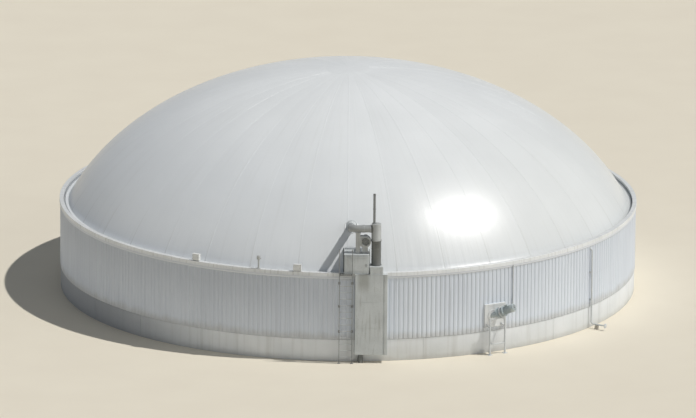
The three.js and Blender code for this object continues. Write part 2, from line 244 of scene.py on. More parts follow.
def rubber_finish(name, pale, dark):
    """Rubber or filler: one matt tone with a fine grain."""
    place = blank(name)
    grain = place.noise(90.0, 3.0)
    return place.finished(grain.mix(dark, pale), 0.8 + 0.15 * grain, grain, 0.002)


plinth_render = plinth_finish()
joint_filler = rubber_finish("joint_filler", (206, 208, 208), (190, 192, 192))
filler_section = [(WALL_FACE, 0), (FILLER_RADIUS, 0), (FILLER_RADIUS, PLINTH_TOP), (WALL_FACE, PLINTH_TOP)]
bay_section = [
    (PLINTH_RADIUS - 0.018, 0.003), (PLINTH_RADIUS - 0.006, 0.003), (PLINTH_RADIUS, 0.012),
    (PLINTH_RADIUS, 0.918), (PLINTH_RADIUS - 0.007, 0.928), (PLINTH_RADIUS - 0.018, 0.931),
]
for number in range(4):
    plinth = Piece()
    start = number * QUARTER
    plinth.skin = 1
    plinth.round_tank(steps(start, start + QUARTER, 72), filler_section)
    plinth.skin = 0
    for bay in range(start, start + QUARTER, PLINTH_BAY):
        plinth.round_tank(steps(bay + JOINT_HALF, bay + PLINTH_BAY - JOINT_HALF, 16), bay_section)
    finishes = [plinth_render, joint_filler]
    plinth.done(f"plinth_bays_{number + 1}", "plinth_render", finishes, f"plinth_{number + 1}")


# Cladding: ribbed sheet with a coil coating, five ribs to a sheet one metre wide, over the
# insulation. The sheets lap on a crown and are screwed down in the valleys at three heights.
CLADDING_RADIUS = 12.4
CLADDING_FOOT = 0.951
CLADDING_TOP = 3.749
CLADDING_SPAN = 60
SPLIT = 0.001
RIBS = 65
RIB_DEPTH = 0.02
SHEET_RIBS = 5
SHEETS = 360 // CLADDING_SPAN * RIBS // SHEET_RIBS
LAP = 0.0018
WAVER = 0.0012
SCREW_HEIGHTS = (1.06, 2.3, 3.58)
SCREW_ACROSS = 0.009


def square_to(axis):
    """The axis as a unit vector, and two more that are square to it and to each other."""
    axis = Vector(axis).normalized()
    side = axis.orthogonal().normalized()
    return axis, side, axis.cross(side)


def circle(middle, side, other, radius, turns):
    """Points on a circle, at angles from its side direction towards the other."""
    return [middle + (side * math.cos(turn) + other * math.sin(turn)) * radius for turn in turns]


def turned(piece, base, axis, section, sides):
    """A round shape on an axis: the section lists its radius and distance from the base."""
    axis, side, other = square_to(axis)
    turns = steps(0, 2 * math.pi, sides)[:-1]
    piece.loft([circle(Vector(base) + axis * along, side, other, radius, turns) for radius, along in section])


def bolt(piece, place, axis, across):
    """A hexagon head on a round washer."""
    washer = across * 0.12
    head = [(across * 0.57, washer), (across * 0.57, across * 0.6), (across * 0.46, across * 0.7)]
    turned(piece, place, axis, [(across * 0.8, -0.001), (across * 0.8, washer)], 10)
    turned(piece, place, axis, head, 6)


def sheet_finish(name, pale, dark, dirt, foot=None):
    """Coated sheet on the wall: a tone for each sheet and run-off streaks. Cladding has splashes at
    its foot too, and painted shade that darkens it higher up, most of all on its left, away from the sun."""
    place = blank(name)
    height = place.part(2)
    around = place.maths("ARCTAN2", place.part(0), place.part(1) * -1) * CLADDING_RADIUS
    flat = place.node("CombineXYZ", {}, {0: around, 1: 0.0, 2: height})
    sheet = place.maths("FLOOR", around * (SHEETS / (2 * math.pi * CLADDING_RADIUS)), 0.0)
    tone = place.node("TexWhiteNoise", {"noise_dimensions": "1D"}, {"W": sheet})
    cloud = place.noise(0.5, 5.0)
    streak = flat.noise(1.0, 7.0, (9.0, 1.0, 0.3)).between(0.5, 0.8)
    under_rim = height.between(2.5, RIM_TOP)
    colour = (0.55 * tone + 0.45 * cloud.between(0.3, 0.7)).mix(dark, pale)
    colour = (streak * (0.25 + 0.45 * under_rim)).mix(colour, dirt)
    if foot:
        splash = 1 - (height + 0.5 * place.noise(2.0, 6.0)).between(1.15, 1.6)
        colour = (splash * 0.55).mix(colour, foot)
        # Painted shade: the dirt tone darkens the upper wall, and more so on the left, away from the sun.
        upper = height.between(1.2, 3.7)
        shade_painted_wall_left = 1 - place.part(0).between(-5.0, 3.0)
        colour = (0.12 * upper + shade_painted_wall_left * (0.14 + 0.28 * upper)).mix(colour, dirt)
    dust = place.noise(14.0, 6.0)
    waver = flat.noise(1.0, 3.0, (2.5, 1.0, 1.2)) + 0.02 * dust
    return place.finished(colour, 0.4 + 0.16 * dust + 0.1 * streak, waver, 0.006, 0.15)


def zinc_finish(name, pale, dark, bloomed):
    """Hot-dip galvanised steel: dull grey spangles with pale bloom where water stands."""
    place = blank(name)
    spangle = place.cells(55.0)
    bloom = place.noise(4.0, 7.0).between(0.5, 0.75)
    colour = (bloom * 0.6).mix(spangle.mix(dark, pale), bloomed)
    roughness = 0.42 + 0.14 * spangle + 0.16 * bloom
    return place.finished(colour, roughness, spangle + place.noise(220.0, 2.0), 0.0006, 0.25)


cladding_sheet = sheet_finish(
    "cladding_sheet", (220, 227, 236), (212, 219, 229), (160, 166, 174), (182, 181, 176)
)
galvanised_steel = zinc_finish("galvanised_steel", (197, 201, 203), (174, 178, 181), (210, 212, 211))
rib_pitch = CLADDING_SPAN / RIBS
rib_shape = [(0.0, 0.0), (0.5, 0.0), (0.64, RIB_DEPTH), (0.86, RIB_DEPTH)]
lapped_shape = [(0.0, 0.0), (0.24, 0.0), (0.245, -LAP), (0.5, -LAP), *rib_shape[2:]]
sheet_rows = steps(CLADDING_FOOT, CLADDING_TOP, 5)
for number in range(6):
    cladding = Piece()
    luck = random.Random(number)
    start = number * CLADDING_SPAN
    columns = []
    for rib in range(RIBS):
        waver = [[luck.uniform(-WAVER, WAVER) for _ in sheet_rows] for _ in range(2)]
        for share, depth in lapped_shape if rib % SHEET_RIBS == 0 else rib_shape:
            columns.append((start + (rib + share) * rib_pitch, depth, waver[share > 0.6]))
    columns.append((start + CLADDING_SPAN - SPLIT, 0.0, [0.0] * len(sheet_rows)))
    rings = []
    for azimuth, depth, shifts in columns:
        outer = CLADDING_RADIUS - LAP - WAVER - depth
        face = [polar(outer + shift, azimuth, z) for shift, z in zip(shifts, sheet_rows)]
        foot, top = [polar(WALL_FACE, azimuth, z) for z in (CLADDING_FOOT, CLADDING_TOP)]
        rings.append([foot, *face, top])
    cladding.loft(rings)
    cladding.skin = 1
    for rib in range(RIBS):
        azimuth = start + (rib + 0.75) * rib_pitch
        for z in SCREW_HEIGHTS:
            valley = polar(CLADDING_RADIUS - RIB_DEPTH - 0.003, azimuth, z)
            bolt(cladding, valley, polar(1, azimuth, 0), SCREW_ACROSS)
    finishes = [cladding_sheet, galvanised_steel]
    cladding.done(f"ribbed_sheets_{number + 1}", "cladding_sheet", finishes, f"wall_cladding_{number + 1}")


# Rim capping: light flashing folded over the top of the wall, with a drip edge outside.
# Its lengths meet under riveted cover straps, and a grey rubber strip seals it to the cladding.
FLASHING_LENGTH = 15
FIRST_STRAP = 8
STRAP_HALF = 0.28
RIVET_OFFSET = 0.2
grey_rubber = rubber_finish("grey_rubber", (218, 222, 227), (208, 212, 217))
flashing_sheet = sheet_finish("flashing_sheet", (230, 232, 233), (220, 223, 224), (172, 172, 166))
capping_section = [
    (12.251, -0.099), (12.251, -0.006), (12.256, 0.0), (12.42, -0.005), (12.4245, -0.01), (12.4245, -0.138),
    (12.4295, -0.156), (12.428, -0.16), (12.424, -0.159), (12.417, -0.144), (12.406, -0.14), (12.402, -0.099),
]
strap_section = [
    (12.27, -0.002), (12.28, 0.0), (12.421, -0.0015), (12.4275, -0.008), (12.4275, -0.136), (12.423, -0.138),
    (12.42, -0.01),
]
strip_section = [
    (12.4, -0.155), (12.409, -0.157), (12.415, -0.165), (12.42, -0.185), (12.42, -0.235), (12.415, -0.255),
    (12.409, -0.263), (12.4, -0.265),
]
rivet_section = [(0.006, 0), (0.005, 0.0025), (0.002, 0.0035)]


def on_rim(section):
    """A section of radius and height pairs, with its heights taken from the rim."""
    return [(radius, RIM_TOP + height) for radius, height in section]


for number in range(4):
    capping = Piece()
    start = number * QUARTER
    azimuths = steps(start, start + QUARTER - SPLIT, 72)
    capping.round_tank(azimuths, on_rim(capping_section))
    capping.skin = 1
    capping.round_tank(azimuths, on_rim(strip_section))
    capping.skin = 0
    for joint in range(start + FIRST_STRAP, start + QUARTER, FLASHING_LENGTH):
        capping.round_tank(steps(joint - STRAP_HALF, joint + STRAP_HALF, 2), on_rim(strap_section))
        for azimuth in (joint - RIVET_OFFSET, joint + RIVET_OFFSET):
            for drop in (0.11, 0.04):
                place = polar(12.426, azimuth, RIM_TOP - drop)
                turned(capping, place, polar(1, azimuth, 0), rivet_section, 8)
    finishes = [flashing_sheet, grey_rubber]
    capping.done(f"flashing_lengths_{number + 1}", "flashing_sheet", finishes, f"rim_capping_{number + 1}")


# Weather membrane: coated fabric, blown up to a dome by support air. It is cut in gores that
# are welded with lapped seams and closed by a round cap, and clamped flat on the wall's crown.
DOME_ACROSS = 12.926
DOME_UP = 9.196
DOME_CENTRE = 0.35
DOME_FOOT = CROWN + 0.017
GORES = 36
GORE_COLUMNS = 8
PILLOW = 0.007
MEMBRANE_DEPTH = 0.008
TOP_ANGLE = 0.0015
SEAM_HALF = 0.028
SEAM_LIFT = 0.003
CAP_RADIUS = 0.95
foot_angle = math.acos((DOME_FOOT - DOME_CENTRE) / DOME_UP)


def on_dome(angle, azimuth, lift=0.0):
    """A point on the dome, at an angle from the top, with the gores' slight swell between seams."""
    swell = PILLOW * abs(math.sin(math.pi * azimuth * GORES / 360)) * math.sin(math.pi * angle / foot_angle)
    out = lift + swell
    height = DOME_CENTRE + (DOME_UP + out) * math.cos(angle)
    return polar((DOME_ACROSS + out) * math.sin(angle), azimuth, height)


def membrane_finish(name, seam):
    """Coated fabric: a tone for each gore, run-off streaks, and ripples near the foot. Painted light
    makes it paler at the top and on the left, away from the sun, and darker on the sunlit right. Its seams
    hold a little dirt low down."""
    place = blank(name)
    height = place.part(2)
    across = place.maths("SQRT", place.part(0) * place.part(0) + place.part(1) * place.part(1), 0.0)
    turn = place.maths("ARCTAN2", place.part(0), place.part(1) * -1)
    fan = place.node("CombineXYZ", {}, {0: turn * 12.0, 1: across, 2: 0.0})
    gore = place.maths("FLOOR", turn * (GORES / (2 * math.pi)), 0.0)
    tone = place.node("TexWhiteNoise", {"noise_dimensions": "1D"}, {"W": gore})
    cloud = place.noise(0.35, 6.0)
    run_off = fan.noise(1.0, 7.0, (4.0, 0.25, 1.0)).between(0.5, 0.8)
    low = 1 - height.between(CROWN, 5.6)
    patches = 0.4 * tone + 0.6 * cloud.between(0.3, 0.7)
    # Painted light: paler, bluer tones on the left, away from the sun, darker ones on the sunlit right, and
    # paler tones again at the top.
    painted_lighter_left = patches.mix((227, 231, 234), (233, 237, 240))
    painted_darker_right = patches.mix((210, 213, 213), (217, 220, 220))
    painted_lighter_top_left = patches.mix((235, 238, 239), (242, 245, 246))
    painted_darker_top_right = patches.mix((217, 220, 221), (224, 227, 228))
    right = place.part(0).between(-9.0, 11.0)
    colour = height.between(6.0, 9.6).mix(right.mix(painted_lighter_left, painted_darker_right), right.mix(painted_lighter_top_left, painted_darker_top_right))
    colour = (run_off * (0.1 + 0.12 * low)).mix(colour, (184, 184, 178))
    if seam:
        colour = (low * 0.2).mix(colour, (176, 175, 168))
    weave = place.noise(260.0, 2.0) * 0.15
    ripple = fan.noise(1.0, 4.0, (3.5, 0.35, 1.0)) * (0.4 + 2.5 * low)
    return place.finished(colour, 0.26 + 0.08 * cloud + 0.08 * run_off, ripple + weave, 0.006)


membrane = Piece()
azimuths = steps(0, 360, GORES * GORE_COLUMNS)[:-1]
foot_section = [(12.033, 0.0145), (12.043, 0.013), (12.224, 0.013), (12.224, 0.003), (12.016, 0.003)]
outer_rings = [[on_dome(angle, turn) for turn in azimuths] for angle in steps(TOP_ANGLE, foot_angle, 44)]
foot_rings = [[polar(radius, turn, CROWN + height) for turn in azimuths] for radius, height in foot_section]
inner_angles = steps(foot_angle, TOP_ANGLE, 20)[1:]
inner_rings = [[on_dome(angle, turn, -MEMBRANE_DEPTH) for turn in azimuths] for angle in inner_angles]
membrane.loft(outer_rings + foot_rings + inner_rings)
membrane.skin = 1
for gore in range(GORES):
    azimuth = gore * 360 / GORES
    rings = []
    for angle in steps(foot_angle, CAP_RADIUS / DOME_ACROSS, 40):
        spread = math.degrees(SEAM_HALF / (DOME_ACROSS * math.sin(angle)))
        flat = spread * 0.85
        outline = [(-spread, -0.002), (-flat, SEAM_LIFT), (flat, SEAM_LIFT), (spread, -0.002)]
        rings.append([on_dome(angle, azimuth + offset, lift) for offset, lift in outline])
    membrane.loft(rings)
cap_section = [(CAP_RADIUS, -0.004), (CAP_RADIUS, 0.002), (0.93, 0.004)]
cap_section += [(0.6, 0.004), (0.3, 0.0038), (0.02, 0.0036)]
rings = []
for radius, lift in cap_section:
    rings.append([on_dome(radius / DOME_ACROSS, azimuth, lift) for azimuth in azimuths[::4]])
membrane.loft(rings)
weather_membrane = membrane_finish("weather_membrane", seam=False)
welded_seam = membrane_finish("welded_seam", seam=True)
finishes = [weather_membrane, welded_seam]
membrane_piece = membrane.done("weather_membrane", "membrane", finishes, "outer_membrane")


# Clamp rail: galvanised bars in lengths that follow the crown of the wall, drawn down on the
# membrane's foot by a stud and nut every 30 cm.
UP = Vector((0, 0, 1))
BAR_LENGTH = 15
STUDS = 256
STUD_RADIUS = 12.198
clamp = Piece()
rail_section = [
    (12.166, CROWN + 0.018), (12.168, CROWN + 0.0155), (12.222, CROWN + 0.0155), (12.224, CROWN + 0.018),
    (12.224, CROWN + 0.03), (12.172, CROWN + 0.03), (12.172, CROWN + 0.052), (12.166, CROWN + 0.052),
]
stud_section = [(0.006, 0), (0.006, 0.022), (0.005, 0.024)]
for start in range(0, 360, BAR_LENGTH):
    clamp.round_tank(steps(start + JOINT_HALF, start + BAR_LENGTH - JOINT_HALF, 12), rail_section)
for stud in range(STUDS):
    azimuth = (stud + 0.5) * 360 / STUDS
    bolt(clamp, polar(STUD_RADIUS, azimuth, CROWN + 0.03), UP, 0.019)
    turned(clamp, polar(STUD_RADIUS, azimuth, CROWN + 0.04), UP, stud_section, 8)
clamp.done("clamp_bars", "galvanised_steel", [galvanised_steel], "clamp_rail")


# Ladder: two galvanised stringers with round ribbed rungs, standing on anchored foot plates
# and held off the cladding by three pairs of brackets. Plastic plugs close its upper ends.
OUT = Vector((0, -1, 0))
RIGHT = Vector((1, 0, 0))
LADDER_SIDES = (-0.34, 0.2)
LADDER_Y = -12.73
LADDER_TOP = 4.95
STRINGER_HALF = 0.015
LADDER_FOOT = 0.012
BRACKET_HEIGHTS = (1.3, 2.4, 3.4)
RUNG_PITCH = 0.28
RUNGS = 13
RUNG_RADIUS = 0.015


def cut_corners(left, right, low, high, edge):
    """The outline of a rectangle with its corners cut off."""
    outline = [(left + edge, low), (right - edge, low), (right, low + edge), (right, high - edge)]
    return outline + [(right - edge, high), (left + edge, high), (left, high - edge), (left, low + edge)]


def block(piece, low, high, edge=0.003):
    """A plate or box with broken edges, between two corners."""
    (left, front, bottom), (right, back, top) = low, high
    rings = []
    for z, inset in ((bottom, edge), (bottom + edge, 0), (top - edge, 0), (top, edge)):
        outline = cut_corners(left + inset, right - inset, front + inset, back - inset, edge)
        rings.append([(x, y, z) for x, y in outline])
    piece.loft(rings)


def blocks(piece, named):
    """Plates or boxes by name, each with its two corners and its edge."""
    for low, high, edge in named.values():
        block(piece, low, high, edge)


def upright(piece, place, half, low, high, edge):
    """A post or plate centred over a place, from one level to another."""
    (x, y), (wide, deep) = place, half
    block(piece, (x - wide, y - deep, low), (x + wide, y + deep, high), edge)


def bolts(piece, across, axis, xs, ys, heights):
    """A bolt head at each meeting of these places."""
    for place in itertools.product(xs, ys, heights):
        bolt(piece, place, axis, across)


def coated_finish(name, pale, dark, dirt, roughness, soiled=0.45, metallic=0.0, dark_patch=None):
    """Paint, coated sheet or plastic: slight clouds in its tone, dust, runs of dirt, fine grain.
    A darker patch lies between a left and a right side, above a height."""
    place = blank(name)
    cloud = place.noise(1.6, 6.0)
    runs = place.noise(1.0, 6.0, (11.0, 11.0, 0.9)).between(0.5, 0.78)
    dust = place.noise(22.0, 7.0).between(0.5, 0.75)
    colour = cloud.between(0.3, 0.7).mix(dark, pale)
    colour = (runs * soiled + dust * soiled * 0.5).mix(colour, dirt)
    if dark_patch:
        left, right, low = dark_patch
        wide = place.part(0).between(left, left + 0.2) * (1 - place.part(0).between(right - 0.2, right))
        colour = (wide * place.part(2).between(low, low + 0.6) * 0.6).mix(colour, dirt)
    grain = place.noise(300.0, 2.0) + 3 * place.noise(12.0, 4.0)
    return place.finished(colour, roughness + 0.18 * dust + 0.1 * runs, grain, 0.0008, metallic)


dark_plastic = coated_finish("dark_plastic", (116, 119, 118), (101, 104, 104), (134, 131, 122), 0.42)
weathered_zinc = zinc_finish("weathered_zinc", (146, 149, 149), (124, 127, 128), (164, 165, 163))
ladder = Piece()
for x in LADDER_SIDES:
    upright(ladder, (x, LADDER_Y), (STRINGER_HALF, 0.03), 0.01, LADDER_TOP - 0.006, 0.004)
    upright(ladder, (x, LADDER_Y), (0.06, 0.06), 0, LADDER_FOOT, 0.002)
    bolts(ladder, 0.018, UP, (x - 0.038, x + 0.038), [LADDER_Y], [LADDER_FOOT])
    wall = -math.sqrt(CLADDING_RADIUS**2 - x**2)
    for z in BRACKET_HEIGHTS:
        blocks(ladder, {
            "arm": ((x - 0.004, LADDER_Y + 0.024, z - 0.025), (x + 0.004, wall, z + 0.025), 0.001),
            "wall_plate": ((x - 0.045, wall - 0.008, z - 0.055), (x + 0.045, wall + 0.012, z + 0.055), 0.002),
        })
        bolts(ladder, 0.014, OUT, (x - 0.028, x + 0.028), [wall - 0.008], [z])
        bolt(ladder, (x + 0.004, LADDER_Y + 0.09, z), RIGHT, 0.014)
    ladder.skin = 1
    upright(ladder, (x, LADDER_Y), (STRINGER_HALF + 0.001, 0.031), LADDER_TOP - 0.008, LADDER_TOP, 0.002)
    ladder.skin = 0
rung_length = LADDER_SIDES[1] - LADDER_SIDES[0]
weld_reach = STRINGER_HALF + 0.003
groove = [(RUNG_RADIUS, -0.004), (0.0135, -0.002), (0.0135, 0.002), (RUNG_RADIUS, 0.004)]
rung_section = [(RUNG_RADIUS, -weld_reach)]
for along in steps(0.04, rung_length - 0.04, 14):
    rung_section += [(radius, along + shift) for radius, shift in groove]
rung_section.append((RUNG_RADIUS, rung_length + weld_reach))
ladder.skin = 2
for rung in range(1, RUNGS + 1):
    turned(ladder, (LADDER_SIDES[0], LADDER_Y, rung * RUNG_PITCH), RIGHT, rung_section, 12)
ladder.done("ladder_frame", "galvanised_steel", [weathered_zinc, dark_plastic, galvanised_steel], "ladder")


# Landing: a small panel of pressed grating between the stringers, from the ladder to the rim, in
# a frame of flat bar with an angle bolted to each stringer.
landing = Piece()
left, right = LADDER_SIDES[0] + STRINGER_HALF + 0.0005, LADDER_SIDES[1] - STRINGER_HALF - 0.0005
front, back, top = LADDER_Y - 0.027, -12.434, RIM_TOP - 0.002
for x in steps(left + 0.003, right - 0.003, 16):
    block(landing, (x - 0.0025, front, top - 0.03), (x + 0.0025, back, top - 0.001), 0.0006)
for y in steps(front + 0.02, back - 0.02, 7):
    turned(landing, (left, y, top - 0.006), RIGHT, [(0.003, 0), (0.003, right - left)], 6)
for y in (front, back):
    block(landing, (left, y - 0.003, top - 0.035), (right, y + 0.003, top), 0.001)
for x, inward in ((left, 1), (right, -1)):
    low, high = sorted((x, x + inward * 0.005))
    block(landing, (low, front + 0.01, top - 0.072), (high, back - 0.01, top - 0.036), 0.001)
    low, high = sorted((x, x + inward * 0.04))
    block(landing, (low, front + 0.01, top - 0.04), (high, back - 0.01, top - 0.035), 0.001)
    bolts(landing, 0.014, RIGHT * inward, [x + inward * 0.005], (front + 0.03, front + 0.2), [top - 0.057])
landing.done("landing_grating", "galvanised_steel", [weathered_zinc], "ladder_landing")


# Riser casing: folded grey sheet that covers the pipes up the wall, in three screwed panels,
# with a narrow cable trunk beside it. The pipe leaves at its foot in a socket.
CASING_FRONT = -12.644
CASING_BACK = -12.28
CASING_FOOT = 0.355
CASING_TOP = RIM_TOP - 0.012
PANEL_FRONT = -12.65
PANEL_SIDES = ((0.33, 1.472), (1.556, 1.674))
PANEL_HEIGHTS = ((0.365, 1.49), (1.51, 2.635), (2.655, 3.79))
SCREW_COLUMNS = (0.35, 1.452, 1.615)
casing_tones = ((205, 210, 211), (195, 200, 201), (146, 147, 141), 0.42)
casing_sheet = coated_finish("casing_sheet", *casing_tones)
# The casing's sheet is darker at its top, between 0.35 and 1 m across and above 2.9 m.
casing_sheet_dark_top = coated_finish("casing_sheet_dark_top", *casing_tones, dark_patch=(0.35, 1.0, 2.9))
casing = Piece()
blocks(casing, {
    "pipe_casing": ((0.322, CASING_FRONT, CASING_FOOT), (1.49, CASING_BACK, CASING_TOP), 0.008),
    "cable_trunk": ((1.54, CASING_FRONT, CASING_FOOT), (1.68, CASING_BACK, CASING_TOP), 0.006),
    "sheet_between": ((1.48, -12.615, 0.36), (1.55, CASING_BACK, RIM_TOP - 0.02), 0.003),
    "top_sheet": ((0.32, -12.652, CASING_TOP), (1.68, -12.43, RIM_TOP), 0.003),
})
for low, high in PANEL_HEIGHTS:
    for left, right in PANEL_SIDES:
        block(casing, (left, PANEL_FRONT, low), (right, -12.64, high))
    for z in steps(low + 0.04, high - 0.04, 3):
        for x in SCREW_COLUMNS:
            turned(casing, (x, PANEL_FRONT, z), OUT, [(0.008, 0), (0.008, 0.003), (0.004, 0.006)], 8)
casing.done("casing_panels", "casing_sheet", [casing_sheet_dark_top], "riser_casing")
riser = Piece()
riser_section = [(0.1, 0), (0.1, 0.06), (0.112, 0.066), (0.116, 0.075), (0.116, 0.085), (0.112, 0.095)]
riser_section += [(0.112, 0.19), (0.116, 0.2), (0.1, 0.205), (0.1, 0.352)]
turned(riser, (0.56, -12.53, 0), UP, riser_section, 36)
riser.done("riser_socket", "dark_plastic", [dark_plastic], "riser_pipe")


# Service box: a sheet housing on the rim, with its foot shaped to the dome and a plastic hose
# along the joint. A door closes the front, a louvre the side, and a roof sheet the top.
BOX_LEFT, BOX_RIGHT, BOX_FRONT, BOX_BACK, BOX_TOP = -0.14, 0.9, -12.6, -11.45, 4.7
BOX_EDGE = 0.008
LOUVRE_FRONT, LOUVRE_BACK = -12.42, -12.06


def dome_height(x, y):
    """The height of the dome's outer face over a place."""
    return DOME_CENTRE + DOME_UP * math.sqrt(1 - (x * x + y * y) / DOME_ACROSS**2)


def tube(piece, path, radius, sides):
    """A round bar or hose along a path of points."""
    path = [Vector(point) for point in path]
    ways = [(after - before).normalized() for before, after in zip([path[0], *path], [*path[1:], path[-1]])]
    side = ways[0].orthogonal().normalized()
    turns = steps(0, 2 * math.pi, sides)[:-1]
    rings = []
    for point, way in zip(path, ways):
        side = (side - way * side.dot(way)).normalized()
        rings.append(circle(point, side, way.cross(side), radius, turns))
    piece.loft(rings)


box = Piece()
stations = [(-12.592, BOX_EDGE), (-12.584, 0)]
stations += [(y, 0) for y in steps(-12.0, -11.47, 6)]
rings = []
for y, inset in [*stations, (-11.46, 0), (BOX_BACK, BOX_EDGE)]:
    low = max(RIM_TOP + 0.002, dome_height(BOX_RIGHT, y) - 0.03) + inset
    high = BOX_TOP - 0.014 - inset
    outline = cut_corners(BOX_LEFT + inset, BOX_RIGHT - inset, low, high, BOX_EDGE)
    rings.append([(x, y, z) for x, z in outline])
box.loft(rings)
blocks(box, {
    "roof": ((BOX_LEFT - 0.008, -12.608, BOX_TOP - 0.018), (BOX_RIGHT + 0.008, -11.442, BOX_TOP), 0.003),
    "door": ((BOX_LEFT + 0.05, BOX_FRONT, 3.93), (BOX_RIGHT - 0.05, -12.586, 4.61), 0.004),
    "door_panel": ((BOX_LEFT + 0.11, -12.6045, 3.98), (BOX_RIGHT - 0.11, -12.596, 4.55), 0.004),
    "rain_strip": ((BOX_LEFT + 0.03, -12.622, 4.628), (BOX_RIGHT - 0.03, -12.588, 4.636), 0.002),
})
for z in (4.02, 4.27, 4.52):
    turned(box, (BOX_LEFT + 0.045, -12.603, z - 0.035), UP, [(0.009, 0), (0.009, 0.07)], 12)
blade = [(0.0, 0.0), (0.016, -0.026), (0.018, -0.024), (0.004, 0.004)]
for z in steps(4.24, 4.52, 7):
    box.loft([[(BOX_RIGHT - 0.003 + x, y, z + h) for x, h in blade] for y in (LOUVRE_FRONT, LOUVRE_BACK)])
for y in (LOUVRE_FRONT - 0.01, LOUVRE_BACK + 0.01):
    block(box, (BOX_RIGHT - 0.004, y - 0.012, 4.2), (BOX_RIGHT + 0.014, y + 0.012, 4.57), 0.002)
box.skin = 1
blocks(box, {
    "latch_plate": ((0.76, -12.618, 4.16), (0.785, -12.6, 4.3), 0.003),
    "latch_grip": ((0.763, -12.634, 4.175), (0.782, -12.62, 4.285), 0.004),
})
sealing_path = [(BOX_LEFT - 0.02, y) for y in steps(-12.0, -11.43, 8)]
sealing_path += [(x, -11.43) for x in steps(BOX_LEFT + 0.06, BOX_RIGHT - 0.06, 8)]
sealing_path += [(BOX_RIGHT + 0.02, y) for y in steps(-11.43, -11.98, 8)]
box.skin = 2
tube(box, [(x, y, dome_height(x, y) + 0.012) for x, y in sealing_path], 0.022, 10)
dark_paint = coated_finish("dark_paint", (112, 115, 114), (99, 102, 101), (132, 129, 120), 0.36, 0.4, 0.1)
box.done("service_housing", "casing_sheet", [casing_sheet, dark_paint, dark_plastic], "service_box")


# Hatch on the service box: a galvanised lid with a folded rim, a ribbed top, two hinges at the
# back and a bow handle.
lid = Piece()
blocks(lid, {
    "folded_rim": ((-0.085, -11.735, BOX_TOP - 0.001), (0.845, -11.505, 4.736), 0.004),
    "top_sheet": ((-0.09, -11.74, 4.728), (0.85, -11.5, 4.744), 0.005),
})
for x in (0.11, 0.245, 0.515, 0.65):
    block(lid, (x - 0.018, -11.7, 4.742), (x + 0.018, -11.54, 4.75))
for x in (0.11, 0.65):
    turned(lid, (x - 0.05, -11.497, 4.737), RIGHT, [(0.011, 0), (0.011, 0.1)], 12)
handle = [(0.31, 4.742), (0.31, 4.753), (0.32, 4.759), (0.44, 4.759), (0.45, 4.753), (0.45, 4.742)]
tube(lid, [(x, -11.66, z) for x, z in handle], 0.005, 8)
lid.done("hatch_lid", "galvanised_steel", [galvanised_steel], "service_box_lid")


# Support-air blower: a welded volute of grey painted sheet on a pedestal, with a wire guard in
# its inlet, where a dark disc is painted shade of the hollow inside. A sheet casing beside it leads
# up to the duct, and its finned motor sits behind.
BLOWER = Vector((0.75, -12.42, 5.225))
TRUNK_SIDES = (0.333, 0.527)
TRUNK_FLANGES = (BOX_TOP, 5.576, 5.592)
FLANGE_THICKNESS = 0.014
FOOT_PLATE_TOP = 4.712
MOTOR_FINS = 26
grey_paint = coated_finish("grey_paint", (182, 185, 184), (170, 173, 172), (148, 145, 136), 0.38, 0.4, 0.1)


def ring(piece, base, axis, outline, sides=24):
    """A turned ring with a bore: the outline is closed, of radius and distance pairs."""
    axis, side, other = square_to(axis)
    rings = []
    for turn in steps(0, 2 * math.pi, sides)[:-1]:
        out = side * math.cos(turn) + other * math.sin(turn)
        rings.append([Vector(base) + axis * along + out * radius for radius, along in outline])
    piece.loft(rings, loop=True)


def band(inner, outer, start, end, edge):
    """The outline of a plain flat ring with broken outer edges."""
    face = [(outer - edge, start), (outer, start + edge), (outer, end - edge), (outer - edge, end)]
    return [(inner, start), *face, (inner, end)]


def bolt_circle(piece, centre, axis, radius, count, across):
    """Bolt heads on a circle round the axis."""
    axis, side, other = square_to(axis)
    turns = [2 * math.pi * (i + 0.5) / count for i in range(count)]
    for place in circle(Vector(centre), side, other, radius, turns):
        bolt(piece, place, axis, across)


def electric_motor(piece, base, axis, up, radius, length):
    """A finned barrel with end shields, a fan cowl with slots, and a terminal box on its top."""
    base = Vector(base)
    axis = Vector(axis).normalized()
    up = Vector(up).normalized()
    other = axis.cross(up)
    barrel = length * 0.7
    shield = [(radius * 0.97, 0), (radius, 0.004), (radius, 0.026), (radius * 0.86, 0.034)]
    turned(piece, base, axis, shield, 32)
    star = []
    for fin in range(MOTOR_FINS):
        for share, reach in ((0.1, 0.96), (0.36, 0.96), (0.44, 0.84), (0.92, 0.84)):
            turn = 2 * math.pi * (fin + share) / MOTOR_FINS
            star.append((up * math.cos(turn) + other * math.sin(turn)) * radius * reach)
    piece.loft([[base + axis * along + out for out in star] for along in (0.03, barrel)])
    cowl = [(radius * 0.94, barrel - 0.01), (radius, barrel), (radius, length - 0.02), (radius * 0.9, length)]
    turned(piece, base, axis, cowl, 32)
    middle = base + axis * length
    for reach in (0.3, 0.48, 0.66, 0.82):
        bar = band(radius * (reach - 0.04), radius * (reach + 0.04), -0.002, 0.004, 0.001)
        ring(piece, middle, axis, bar, 28)
    box_base = base + axis * barrel * 0.5 + up * radius * 0.9
    half = radius * 0.42
    corners = [(-half, -half), (half, -half), (half, half), (-half, half)]
    for low, high, spread in ((0, 0.36, 1.0), (0.37, 0.46, 1.08)):
        outline = [(axis * a + other * b) * spread for a, b in corners]
        piece.loft([[box_base + out + up * radius * h for out in outline] for h in (low, high)])
    # The second finish takes the disc behind the cowl's bars, painted shade of the hollow cowl, and the cable
    # gland.
    piece.skin = 1
    turned(piece, middle, axis, [(radius * 0.86, -0.01), (radius * 0.86, 0.0012)], 28)
    entry = box_base + other * half * 0.9 + up * radius * 0.18
    turned(piece, entry, other, [(0.014, 0), (0.014, 0.03), (0.01, 0.045)], 10)
    piece.skin = 0


